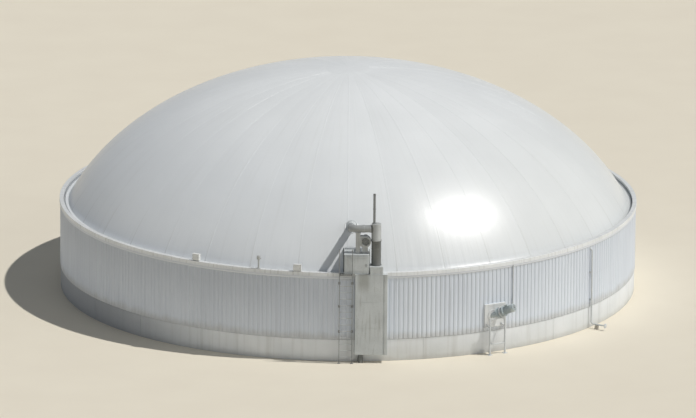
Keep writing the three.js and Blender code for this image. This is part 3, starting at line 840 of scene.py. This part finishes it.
scroll = []
for degree in range(0, -296, -12):
    reach = max(0.21, 0.31 + 0.1 * degree / 180)
    scroll.append((-reach * math.cos(math.radians(degree)), reach * math.sin(math.radians(degree))))
scroll.append((-0.24, 0.2))


def scroll_ring(y, grown):
    """The volute's outline at a depth, made larger all round by what it has grown."""
    made = []
    for u, w in scroll:
        size = math.hypot(u, w)
        made.append((BLOWER.x + u * (size + grown) / size, y, BLOWER.z + w * (size + grown) / size))
    return made


blower = Piece()
blower.loft([scroll_ring(y, 0.0) for y in (-12.414, -12.166)])
for y in (-12.42, -12.167):
    blower.loft([scroll_ring(y, 0.012), scroll_ring(y + 0.007, 0.012)])
cone = [(0.16, -0.005), (0.172, -0.005), (0.19, 0.045), (0.19, 0.07), (0.182, 0.07), (0.16, 0.02)]
ring(blower, BLOWER, OUT, cone, 36)
bolt_circle(blower, BLOWER, OUT, 0.199, 8, 0.01)
for reach in (0.035, 0.07, 0.105, 0.14, 0.172):
    wire = [(reach - 0.003, 0.06), (reach, 0.057), (reach + 0.003, 0.06), (reach, 0.063)]
    ring(blower, BLOWER, OUT, wire)
guard = BLOWER + OUT * 0.064
for spoke in range(3):
    way = Vector((math.cos(math.pi * spoke / 3), 0, math.sin(math.pi * spoke / 3))) * 0.184
    tube(blower, [guard - way, guard + way], 0.003, 6)
foot_ring = [(0.6, -12.37), (0.85, -12.37), (0.85, -12.21), (0.6, -12.21)]
waist_ring = [(0.63, -12.36), (0.84, -12.36), (0.84, -12.22), (0.63, -12.22)]
blower.loft([[(x, y, 4.71) for x, y in foot_ring], [(x, y, 5.05) for x, y in waist_ring]])
blocks(blower, {
    "foot_plate": ((0.55, -12.41, BOX_TOP), (0.9, -12.17, FOOT_PLATE_TOP), 0.002),
    "trunk": ((TRUNK_SIDES[0], -12.417, BOX_TOP), (TRUNK_SIDES[1], -12.163, 5.58), 0.005),
    "trunk_cover": ((0.36, -12.424, 4.8), (0.5, -12.414, 5.44), 0.003),
    "spigot_to_duct": ((0.345, -12.4, 5.595), (0.515, -12.18, 5.68), 0.004),
})
bolts(blower, 0.018, UP, (0.573, 0.877), (-12.39, -12.19), [FOOT_PLATE_TOP])
for z in TRUNK_FLANGES:
    block(blower, (0.315, -12.435, z), (0.545, -12.145, z + FLANGE_THICKNESS), 0.002)
flange_tops = [z + FLANGE_THICKNESS for z in TRUNK_FLANGES[::2]]
bolts(blower, 0.014, UP, steps(*TRUNK_SIDES, 2), (-12.425, -12.155), flange_tops)
for x in (0.37, 0.49):
    for z in steps(4.82, 5.42, 3):
        turned(blower, (x, -12.424, z), OUT, [(0.006, 0), (0.006, 0.002), (0.003, 0.004)], 8)
# A dark disc closes the inlet behind the guard: painted shade of the hollow volute.
blower.skin = 1
turned(blower, BLOWER, OUT, [(0.16, 0.0), (0.16, 0.012)], 32)
blower.done("blower_volute", "dark_paint", [grey_paint, dark_paint], "blower_housing")
# Near-black rubber: the blower motor's cable gland, and painted shade in the hollows behind its cowl and in
# the vent pipe.
gland_and_painted_hollow_shade = rubber_finish("gland_and_painted_hollow_shade", (62, 61, 58), (38, 38, 37))
motor = Piece()
electric_motor(motor, (BLOWER.x, -12.158, BLOWER.z), -OUT, UP, 0.14, 0.355)
motor.done("blower_drive", "dark_paint", [dark_paint, gland_and_painted_hollow_shade], "blower_motor")


# Support-air duct: grey plastic pipe from the relief valve along the front, round a bend and
# down into the dome. Clamped sleeves join its lengths, and a flared boot seals it to the membrane.
DUCT_RADIUS = 0.15
DUCT_START = Vector((1.03, -12.29, 5.74))
DUCT_CORNER = Vector((0.14, -12.29, 5.74))
BOOT_FOOT = Vector((0.14, -10.786, 5.423))
duct_grey = coated_finish("duct_grey", (160, 163, 163), (146, 149, 149), (160, 158, 150), 0.42)


def rounded_path(corners, bend, count=10):
    """Straight runs between corners, with a rounded bend at each inner corner."""
    path = [Vector(corners[0])]
    for before, corner, after in zip(corners, corners[1:], corners[2:]):
        before, corner, after = Vector(before), Vector(corner), Vector(after)
        start = corner + (before - corner).normalized() * bend
        end = corner + (after - corner).normalized() * bend
        for t in steps(0, 1, count):
            path.append(start * (1 - t) ** 2 + corner * 2 * t * (1 - t) + end * t**2)
    return [*path, Vector(corners[-1])]


duct = Piece()
duct_way = (BOOT_FOOT - DUCT_CORNER).normalized()
tube(duct, rounded_path([DUCT_START, DUCT_CORNER, BOOT_FOOT + duct_way * 0.05], 0.33, 14), DUCT_RADIUS, 32)
sleeves = [(DUCT_START, -RIGHT, 0.0), (DUCT_START, -RIGHT, 0.32)]
sleeves += [(DUCT_CORNER, duct_way, 0.36), (DUCT_CORNER, duct_way, 1.05)]
for start, way, along in sleeves:
    base = start + way * along
    ring(duct, base, way, band(DUCT_RADIUS - 0.005, DUCT_RADIUS + 0.009, 0.0, 0.11, 0.004), 32)
    duct.skin = 1
    for shift in (0.02, 0.078):
        clip = base + way * shift
        ring(duct, clip, way, band(DUCT_RADIUS + 0.005, DUCT_RADIUS + 0.012, 0, 0.012, 0.001), 32)
        block(duct, clip + Vector((-0.012, -0.012, 0.157)), clip + Vector((0.012, 0.014, 0.177)), 0.002)
    duct.skin = 0
duct.done("support_air_pipe", "dark_plastic", [duct_grey, galvanised_steel], "support_air_duct")
boot = Piece()
boot_outline = [(0.151, -0.16), (0.165, -0.16), (0.167, -0.08), (0.185, -0.02), (0.22, 0.05), (0.25, 0.1)]
boot_outline += [(0.258, 0.16), (0.258, 0.36), (0.151, 0.36)]
ring(boot, BOOT_FOOT, duct_way, boot_outline, 40)
boot.skin = 1
for along in (-0.145, -0.11):
    ring(boot, BOOT_FOOT, duct_way, band(0.155, 0.1695, along, along + 0.014, 0.001), 36)
boot.skin = 2
_, side, other = square_to(duct_way)
weld = []
for start in circle(BOOT_FOOT, side, other, 0.265, steps(0, 2 * math.pi, 40)):
    line = [start + duct_way * along for along in steps(-0.4, 0.8, 120)]
    weld.append(min(line, key=lambda point: abs(dome_height(point.x, point.y) - point.z)))
tube(boot, weld, 0.02, 8)
boot.done("duct_boot", "casing_sheet", [casing_sheet, galvanised_steel, welded_seam], "duct_collar")


# Relief valve: a dark painted vessel with a tall grey cover flanged to it, on a sheet saddle on
# the rim. It has lifting lugs, a side branch to the duct, and a thin vent pipe on its top.
SADDLE_FOOT = RIM_TOP + 0.014
SADDLE_TOP = 4.164
VALVE = Vector((1.195, -12.29, 4.18))
VALVE_SHELL = 0.205
VALVE_FLANGE = 0.225
saddle = Piece()
blocks(saddle, {
    "body": ((0.94, -12.635, RIM_TOP + 0.012), (1.48, -12.01, 4.17), 0.008),
    "foot_sheet": ((0.92, -12.65, RIM_TOP + 0.001), (1.5, -12.0, SADDLE_FOOT), 0.003),
    "top_sheet": ((0.925, -12.645, SADDLE_TOP), (1.495, -12.005, VALVE.z), 0.003),
})
for x in (0.97, 1.21, 1.45):
    block(saddle, (x - 0.004, -12.648, SADDLE_FOOT), (x + 0.004, -12.632, SADDLE_TOP), 0.001)
for y in (-12.55, -12.32, -12.1):
    block(saddle, (1.478, y - 0.004, SADDLE_FOOT), (1.494, y + 0.004, SADDLE_TOP), 0.001)
bolts(saddle, 0.01, OUT, (0.945, 1.09, 1.33, 1.475), [-12.643], [SADDLE_FOOT + 0.02])
saddle.done("saddle_frame", "casing_sheet", [casing_sheet], "valve_saddle")
valve = Piece()
hoop_radii = (0.202, 0.211)
vessel = [(VALVE_FLANGE, 0.0), (VALVE_FLANGE, 0.028), (0.209, 0.03), (VALVE_SHELL, 0.04)]
vessel += [(VALVE_SHELL, 1.034), (0.209, 1.04), (VALVE_FLANGE, 1.042), (VALVE_FLANGE, 1.0685)]
turned(valve, VALVE, UP, vessel, 40)
for z in (0.36, 0.7):
    ring(valve, VALVE, UP, band(*hoop_radii, z, z + 0.03, 0.003), 40)
valve.skin = 1
cover = [(0.215, 1.069), (0.215, 1.071), (VALVE_FLANGE, 1.072), (VALVE_FLANGE, 1.098), (0.209, 1.1)]
cover += [(VALVE_SHELL, 1.11), (VALVE_SHELL, 1.765), (0.2, 1.782), (0.18, 1.797), (0.172, 1.8)]
turned(valve, VALVE, UP, cover, 40)
ring(valve, VALVE, UP, band(*hoop_radii, 1.31, 1.335, 0.003), 40)
valve.skin = 0
for z, facing in ((0.028, UP), (1.098, UP), (1.042, -UP)):
    bolt_circle(valve, VALVE + UP * z, facing, 0.2155, 14, 0.011)
ring(valve, VALVE + UP * 1.56, -RIGHT, band(0.14, 0.18, 0.16, 0.205, 0.004), 32)
lug = [(0.19, 1.18), (0.222, 1.19), (0.222, 1.26), (0.19, 1.27)]
for turn in (30, 210):
    way = Vector((math.cos(math.radians(turn)), math.sin(math.radians(turn)), 0))
    tube(valve, [VALVE + way * reach + UP * z for reach, z in lug], 0.008, 8)
turned(valve, VALVE + OUT * 0.19 + UP * 0.85, OUT, [(0.045, 0), (0.045, 0.036), (0.038, 0.04)], 20)
bolt_circle(valve, VALVE + OUT * 0.226 + UP * 0.85, OUT, 0.032, 6, 0.007)
valve.done("relief_vessel", "dark_paint", [dark_paint, grey_paint], "relief_valve")
vent = Piece()
vent_foot = VALVE + Vector((-0.085, 0, 1.8))
turned(vent, vent_foot, UP, [(0.085, 0), (0.085, 0.022), (0.082, 0.025), (0.062, 0.026), (0.056, 0.04)], 28)
bolt_circle(vent, vent_foot + UP * 0.025, UP, 0.071, 4, 0.01)
ring(vent, vent_foot, UP, [(0.049, 0.0), (0.054, 0.0), (0.054, 1.27), (0.049, 1.27)], 20)
for z in (0.6, 1.21):
    ring(vent, vent_foot, UP, band(0.052, 0.062, z, z + 0.05, 0.004), 20)
# A dark plug inside the bore near the top: painted shade of the hollow pipe.
vent.skin = 1
turned(vent, vent_foot, UP, [(0.05, 1.05), (0.05, 1.1)], 16)
vent.done("vent_tube", "galvanised_steel", [weathered_zinc, gland_and_painted_hollow_shade], "vent_pipe")


# Side agitator: a bolted wall plate, a shaft housing that leans up and off to the right, a ribbed
# gearbox and a finned motor in blue-grey machine paint.
AGITATOR_AZIMUTH = 30
TILT = math.radians(25)
SWIVEL = math.radians(35)
SHAFT_FOOT = Vector((-0.15, -CLADDING_RADIUS, 1.6))
SHAFT_WAY = Vector((math.cos(TILT) * math.sin(SWIVEL), -math.cos(TILT) * math.cos(SWIVEL), math.sin(TILT)))
SHAFT_UP = Vector((-math.sin(TILT) * math.sin(SWIVEL), math.sin(TILT) * math.cos(SWIVEL), math.cos(TILT)))
SHAFT_SIDE = SHAFT_UP.cross(SHAFT_WAY)
PLATE_HALF = 0.5
PLATE_FRONT = -12.46
PLATE_FOOT, PLATE_TOP = 1.12, 2.12
RIM_WIDTH = 0.08
GEAR_RIBS = 14


def along_shaft(distance):
    """A place on the shaft's line, in the frame of the agitator's azimuth."""
    return SHAFT_FOOT + SHAFT_WAY * distance


plate = Piece(AGITATOR_AZIMUTH)
block(plate, (-PLATE_HALF, -12.448, PLATE_FOOT), (PLATE_HALF, -12.3, PLATE_TOP), 0.006)
inner_foot, inner_top = PLATE_FOOT + RIM_WIDTH, PLATE_TOP - RIM_WIDTH
inner_half = PLATE_HALF - RIM_WIDTH
for left, right, low, high in (
    (-PLATE_HALF, PLATE_HALF, PLATE_FOOT, inner_foot), (-PLATE_HALF, PLATE_HALF, inner_top, PLATE_TOP),
    (-PLATE_HALF, -inner_half, inner_foot, inner_top), (inner_half, PLATE_HALF, inner_foot, inner_top),
):
    block(plate, (left, PLATE_FRONT, low), (right, -12.446, high), 0.002)
ring(plate, (-0.11, -12.44, 1.63), OUT, band(0.12, 0.25, 0.0, 0.03, 0.006), 40)
bolt_circle(plate, (-0.11, -12.47, 1.63), OUT, 0.225, 12, 0.018)
bolts(plate, 0.02, OUT, steps(-0.46, 0.46, 5), [PLATE_FRONT], (1.16, 2.08))
bolts(plate, 0.02, OUT, (-0.46, 0.46), [PLATE_FRONT], steps(1.344, 1.896, 3))
plate.done("wall_flange_plate", "casing_sheet", [flashing_sheet], "agitator_plate")
machine_paint = coated_finish(
    "machine_paint", (192, 202, 205), (180, 191, 195), (176, 175, 167), 0.34, 0.35, 0.1
)
gearbox = Piece(AGITATOR_AZIMUTH)
housing = [(0.115, 0.0), (0.115, 0.27), (0.124, 0.28), (0.124, 0.3), (0.115, 0.31)]
housing += [(0.15, 0.36), (0.17, 0.385)]
turned(gearbox, along_shaft(-0.05), SHAFT_WAY, housing, 36)
flange = [(0.226, 0), (0.23, 0.004), (0.23, 0.031), (0.226, 0.035)]
for along in (0.33, 0.625):
    turned(gearbox, along_shaft(along), SHAFT_WAY, flange, 40)
bolt_circle(gearbox, along_shaft(0.33), -SHAFT_WAY, 0.207, 12, 0.02)
bolt_circle(gearbox, along_shaft(0.66), SHAFT_WAY, 0.207, 12, 0.02)
turned(gearbox, along_shaft(0.36), SHAFT_WAY, [(0.17, 0), (0.17, 0.27)], 36)
for rib in range(GEAR_RIBS):
    turn = 2 * math.pi * rib / GEAR_RIBS
    out = SHAFT_SIDE * math.cos(turn) + SHAFT_UP * math.sin(turn)
    side = SHAFT_WAY.cross(out) * 0.007
    rings = []
    for along, reach in ((0.36, 0.205), (0.4, 0.19), (0.59, 0.19), (0.63, 0.205)):
        root, tip = along_shaft(along) + out * 0.16, along_shaft(along) + out * reach
        rings.append([root - side, tip - side, tip + side, root + side])
    gearbox.loft(rings)
gearbox.skin = 1
breather = [(0.022, 0), (0.022, 0.05), (0.03, 0.052), (0.03, 0.075)]
oil_plug = [(0.03, 0), (0.03, 0.035), (0.024, 0.038)]
turned(gearbox, along_shaft(0.44) + SHAFT_UP * 0.16, SHAFT_UP, breather, 6)
turned(gearbox, along_shaft(0.5) + SHAFT_SIDE * 0.16, SHAFT_SIDE, oil_plug, 20)
gearbox.done("agitator_gear_housing", "machine_paint", [machine_paint, galvanised_steel], "agitator_gearbox")
drive = Piece(AGITATOR_AZIMUTH)
electric_motor(drive, along_shaft(0.6605), SHAFT_WAY, SHAFT_UP, 0.17, 0.498)
drive.done("agitator_drive", "machine_paint", [machine_paint, dark_plastic], "agitator_motor")


# Stand of the agitator: a galvanised portal of square tube on anchored feet, with a tie, two
# struts to the wall, corner gussets, and a strap over the gearbox.
STAND_LEGS = (-0.43, 0.3)
STRAP_ALONG = 0.495
LEG_HALF = (0.03, 0.03)
FOOT_HALF = (0.09, 0.09)
FOOT_THICKNESS = 0.015
ANCHOR_OFFSET = 0.062
GEAR_X, STAND_Y, _ = along_shaft(STRAP_ALONG)
bright_zinc = zinc_finish("bright_zinc", (214, 218, 220), (196, 200, 202), (222, 224, 223))
stand = Piece(AGITATOR_AZIMUTH)
for x in STAND_LEGS:
    upright(stand, (x, STAND_Y), LEG_HALF, FOOT_THICKNESS - 0.002, 1.585, 0.006)
    upright(stand, (x, STAND_Y), FOOT_HALF, 0, FOOT_THICKNESS, 0.002)
    for y in (STAND_Y - ANCHOR_OFFSET, STAND_Y + ANCHOR_OFFSET):
        bolts(stand, 0.02, UP, (x - ANCHOR_OFFSET, x + ANCHOR_OFFSET), [y], [FOOT_THICKNESS])
    blocks(stand, {
        "strut": ((x - 0.025, STAND_Y, 1.185), (x + 0.025, -12.463, 1.235), 0.005),
        "wall_plate": ((x - 0.035, -12.476, 1.14), (x + 0.035, -12.4605, 1.28), 0.002),
    })
    inward = -1 if x > GEAR_X else 1
    near = x + inward * 0.028
    for low, high in ((1.53, 1.41), (0.475, 0.575)):
        gusset = [(near, low), (near + inward * 0.11, low), (near, high)]
        stand.loft([[(u, STAND_Y + y, w) for u, w in gusset] for y in (-0.004, 0.004)])
for low, high in ((1.528, 1.582), (0.423, 0.477)):
    block(stand, (STAND_LEGS[0], STAND_Y - 0.027, low), (STAND_LEGS[1], STAND_Y + 0.027, high), 0.005)
for x in (GEAR_X - 0.13, GEAR_X + 0.13):
    upright(stand, (x, STAND_Y), (0.04, 0.03), 1.575, 1.65, 0.004)
ring(stand, along_shaft(STRAP_ALONG), SHAFT_WAY, band(0.187, 0.209, -0.025, 0.025, 0.003), 40)
stand.done("agitator_portal", "galvanised_steel", [bright_zinc], "agitator_stand")


# Conduit: a galvanised cable tube from an entry fitting on the wall up to the rim, held by two
# saddles.
CONDUIT_AZIMUTH = 34.1
CONDUIT_Y = -CLADDING_RADIUS - 0.04
COUPLING_HEIGHTS = (2.04, 2.7, 3.635)
SADDLE_HEIGHTS = (2.2, 3.2)
conduit = Piece(CONDUIT_AZIMUTH)
turned(conduit, (0, CONDUIT_Y, 1.98), UP, [(0.02, 0), (0.02, 1.695)], 16)
block(conduit, (-0.026, CONDUIT_Y - 0.023, 1.952), (0.026, -12.38, 2.04), 0.006)
for z in COUPLING_HEIGHTS:
    turned(conduit, (0, CONDUIT_Y, z), UP, [(0.024, 0), (0.024, 0.035)], 8)
for z in SADDLE_HEIGHTS:
    ring(conduit, (0, CONDUIT_Y, z), UP, band(0.019, 0.024, -0.012, 0.012, 0.001), 20)
    blocks(conduit, {
        "wall_plate": ((-0.04, -12.412, z - 0.02), (0.04, -12.39, z + 0.02), 0.002),
        "web": ((-0.008, CONDUIT_Y, z - 0.012), (0.008, -12.405, z + 0.012), 0.001),
    })
    bolts(conduit, 0.008, OUT, (-0.029, 0.029), [-12.412], [z])
conduit.done("conduit_tube", "galvanised_steel", [bright_zinc], "cable_conduit")


# Gas pipe: thin welded steel pipe out of the wall under the rim, down to the ground and out to a
# blind flange. Two split clamps hold it off the wall, and it rests on a concrete block.
GAS_AZIMUTH = 56.2
GAS_Y = -12.48
GAS_TOP = 3.48
GAS_FOOT = 0.2
GAS_RADIUS = 0.035
GAS_BEND = 0.12
GAS_REACH = 0.694
CLAMP_HEIGHTS = (1.25, 2.45)
CLAMP_EARS = (-0.05, 0.05)
gas = Piece(GAS_AZIMUTH)
gas_corners = [(0, -12.3, GAS_TOP), (0, GAS_Y, GAS_TOP), (0, GAS_Y, GAS_FOOT)]
gas_corners.append((0, GAS_Y - GAS_REACH - 0.002, GAS_FOOT))
tube(gas, rounded_path(gas_corners, GAS_BEND, 12), GAS_RADIUS, 24)
weld_bead = [(0.033, -0.005), (0.0375, 0.0), (0.033, 0.005)]
for z in (GAS_TOP - GAS_BEND, GAS_FOOT + GAS_BEND):
    ring(gas, (0, GAS_Y, z), UP, weld_bead)
for y in (GAS_Y - GAS_BEND, GAS_Y - 0.68):
    ring(gas, (0, y, GAS_FOOT), -OUT, weld_bead)
ring(gas, (0, -12.395, GAS_TOP), OUT, band(0.033, 0.065, 0.0, 0.014, 0.003), 32)
bolt_circle(gas, (0, -12.409, GAS_TOP), OUT, 0.051, 6, 0.01)
clamp_band = band(0.034, 0.041, -0.02, 0.02, 0.001)
for z in CLAMP_HEIGHTS:
    ring(gas, (0, GAS_Y, z), UP, clamp_band)
    for x in CLAMP_EARS:
        block(gas, (x - 0.011, GAS_Y - 0.006, z - 0.02), (x + 0.011, GAS_Y + 0.006, z + 0.02), 0.001)
    bolts(gas, 0.01, OUT, CLAMP_EARS, [GAS_Y - 0.006], [z])
    blocks(gas, {
        "arm": ((-0.013, GAS_Y + 0.038, z - 0.014), (0.013, -12.4, z + 0.014), 0.002),
        "wall_plate": ((-0.055, -12.41, z - 0.04), (0.055, -12.39, z + 0.04), 0.002),
    })
    bolts(gas, 0.01, OUT, (-0.038, 0.038), [-12.41], [z])
flange_foot = Vector((0, GAS_Y - GAS_REACH, GAS_FOOT))
turned(gas, flange_foot, OUT, [(0.044, -0.03), (0.05, -0.002), (0.1, 0), (0.1, 0.012)], 36)
turned(gas, flange_foot, OUT, [(0.1, 0.014), (0.1, 0.024), (0.097, 0.026)], 36)
turned(gas, flange_foot, OUT, [(0.06, 0.011), (0.06, 0.015)], 24)
bolt_circle(gas, flange_foot + OUT * 0.001, -OUT, 0.079, 8, 0.013)
ring(gas, (0, GAS_Y - 0.28, GAS_FOOT), -OUT, clamp_band)
gas.skin = 1
resting_block = ((-0.08, GAS_Y - 0.34, 0), (0.08, GAS_Y - 0.22, GAS_FOOT - 0.032), 0.006)
block(gas, *resting_block)
gas.done("gas_line", "galvanised_steel", [bright_zinc, cast_concrete], "gas_pipe")


# Rim boxes and level probe: two light instrument cabinets that stand on the capping, and the
# post of the level probe with its round head.
CABINET_AZIMUTHS = (-31, -9.8)
PROBE_AZIMUTH = -17.6
PROBE_Y = -12.34
CABINET_SHELL = {
    "housing": (-0.16, 0.16, -12.41, -12.27, 0.02, 0.285, 0.006),
    "roof": (-0.17, 0.17, -12.42, -12.265, 0.28, 0.3, 0.005),
    "door": (-0.145, 0.145, -12.418, -12.408, 0.045, 0.268, 0.003),
}
CABINET_FITTINGS = {
    "left_foot": (-0.14, -0.1, -12.4, -12.28, 0, 0.022, 0.002),
    "right_foot": (0.1, 0.14, -12.4, -12.28, 0, 0.022, 0.002),
    "lower_hinge": (-0.158, -0.142, -12.421, -12.41, 0.075, 0.105, 0.001),
    "upper_hinge": (-0.158, -0.142, -12.421, -12.41, 0.205, 0.235, 0.001),
    "latch": (0.115, 0.13, -12.428, -12.416, 0.13, 0.18, 0.002),
}
CABINET_FRAME = {
    "left_post": (-0.17, -0.145, -12.424, -12.29, 0.005, 0.295, 0.002),
    "right_post": (0.145, 0.17, -12.424, -12.29, 0.005, 0.295, 0.002),
    "lower_rail": (-0.17, 0.17, -12.424, -12.29, 0.005, 0.035, 0.002),
    "upper_rail": (-0.17, 0.17, -12.424, -12.29, 0.272, 0.302, 0.002),
}
PROBE_FOOT = {"foot_plate": (-0.09, 0.09, -12.415, -12.265, 0, 0.012, 0.002)}
light_paint = coated_finish("light_paint", (226, 228, 227), (214, 216, 215), (158, 156, 148), 0.38)


def on_capping(piece, named):
    """Boxes by name: left, right, front and back of each, its two heights over the rim, its edge."""
    for left, right, front, back, low, high, edge in named.values():
        block(piece, (left, front, RIM_TOP + low), (right, back, RIM_TOP + high), edge)


for number, azimuth in enumerate(CABINET_AZIMUTHS, 1):
    cabinet = Piece(azimuth)
    on_capping(cabinet, CABINET_SHELL)
    cabinet.skin = 1
    on_capping(cabinet, CABINET_FITTINGS)
    if number == 2:
        cabinet.skin = 0
        on_capping(cabinet, CABINET_FRAME)
    finishes = [light_paint, grey_paint]
    cabinet.done(f"instrument_cabinet_{number}", "flashing_sheet", finishes, f"rim_box_{number}")
probe = Piece(PROBE_AZIMUTH)
on_capping(probe, PROBE_FOOT)
bolts(probe, 0.012, UP, (-0.07, 0.07), (-12.395, -12.285), [RIM_TOP + 0.012])
post = [(0.05, 0.01), (0.05, 0.03), (0.034, 0.036), (0.034, 0.36), (0.044, 0.365), (0.044, 0.395)]
post += [(0.076, 0.4), (0.08, 0.408), (0.08, 0.53), (0.074, 0.545), (0.05, 0.558)]
turned(probe, (0, PROBE_Y, RIM_TOP), UP, post, 28)
ring(probe, (0, PROBE_Y, RIM_TOP), UP, band(0.078, 0.083, 0.455, 0.475, 0.002), 28)
turned(probe, (0.07, PROBE_Y, RIM_TOP + 0.43), RIGHT, [(0.014, 0), (0.014, 0.03), (0.009, 0.045)], 10)
probe.done("probe_post", "dark_paint", [grey_paint], "level_probe")


# The stage: a plain pale floor, a key light high on the right, two wide soft lights and a pale
# sky for fill, and the camera far off at the photo's angle.
FLOOR_HALF = 600
LIGHTS = {
    "key_light": (2.62, 1.2, (1.0, 0.975, 0.94), (0.529, -0.057, 0.847)),
    "fill_light_1": (0.8, 70, (1.0, 1.0, 1.0), (0.85, -0.5, 0.12)),
    "fill_light_2": (0.32, 70, (1.0, 1.0, 1.0), (-0.95, 0.1, 0.1)),
}
HORIZON = (0.325, 0.348, 0.38, 1.0)
ZENITH = (0.08, 0.09, 0.105, 1.0)
ELEVATION = math.radians(15)
ROLL = math.radians(0.4)
DISTANCE = 420
FRAME_WIDTH = 30.0
SENSOR_WIDTH = 36
scene = bpy.context.scene

floor_material = blank("pale_floor")
speckle = floor_material.noise(0.4, 6.0)
floor_colour = speckle.mix((224, 216, 199), (230, 223, 206))
floor_mesh = bpy.data.meshes.new("floor")
floor_corners = [(x * FLOOR_HALF, y * FLOOR_HALF, 0) for x, y in ((-1, -1), (1, -1), (1, 1), (-1, 1))]
floor_mesh.from_pydata(floor_corners, [], [(0, 1, 2, 3)])
floor_mesh.materials.append(floor_material.finished(floor_colour, 0.9, speckle, 0.001))
floor = bpy.data.objects.new("floor", floor_mesh)
scene.collection.objects.link(floor)

for name, (energy, spread, colour, direction) in LIGHTS.items():
    light = bpy.data.lights.new(name, "SUN")
    light.energy = energy
    light.angle = math.radians(spread)
    light.color = colour
    light_object = bpy.data.objects.new(name, light)
    light_object.rotation_euler = Vector(direction).to_track_quat("Z", "Y").to_euler()
    scene.collection.objects.link(light_object)
world = bpy.data.worlds.new("pale_sky")
world.use_nodes = True
height = Wire(world).node("TexCoord", {}, {}).part(2)
shade = height.node("Mix", {"data_type": "RGBA"}, {0: height, 6: HORIZON, 7: ZENITH}, 2)
world.node_tree.links.new(shade.socket, world.node_tree.nodes["Background"].inputs["Color"])
scene.world = world
scene.view_settings.view_transform = "Standard"

camera = bpy.data.cameras.new("camera")
camera.lens = SENSOR_WIDTH * DISTANCE / FRAME_WIDTH
camera.clip_end = 4 * DISTANCE
camera_object = bpy.data.objects.new("camera", camera)
aim = Vector((0, 0, 3.3))
away = Vector((0, -math.cos(ELEVATION), math.sin(ELEVATION)))
camera_object.location = aim + away * DISTANCE
level = away.to_track_quat("Z", "Y").to_matrix()
camera_object.rotation_euler = (level @ Matrix.Rotation(ROLL, 3, "Z")).to_euler()
scene.collection.objects.link(camera_object)
scene.camera = camera_object

# The membrane is one sheet, whose gores together lie flat in a circle as wide as the dome's arc; the arc is
# traced here from the top to the foot.
arc = [Vector(on_dome(angle, 0)) for angle in steps(0, foot_angle, 60)]
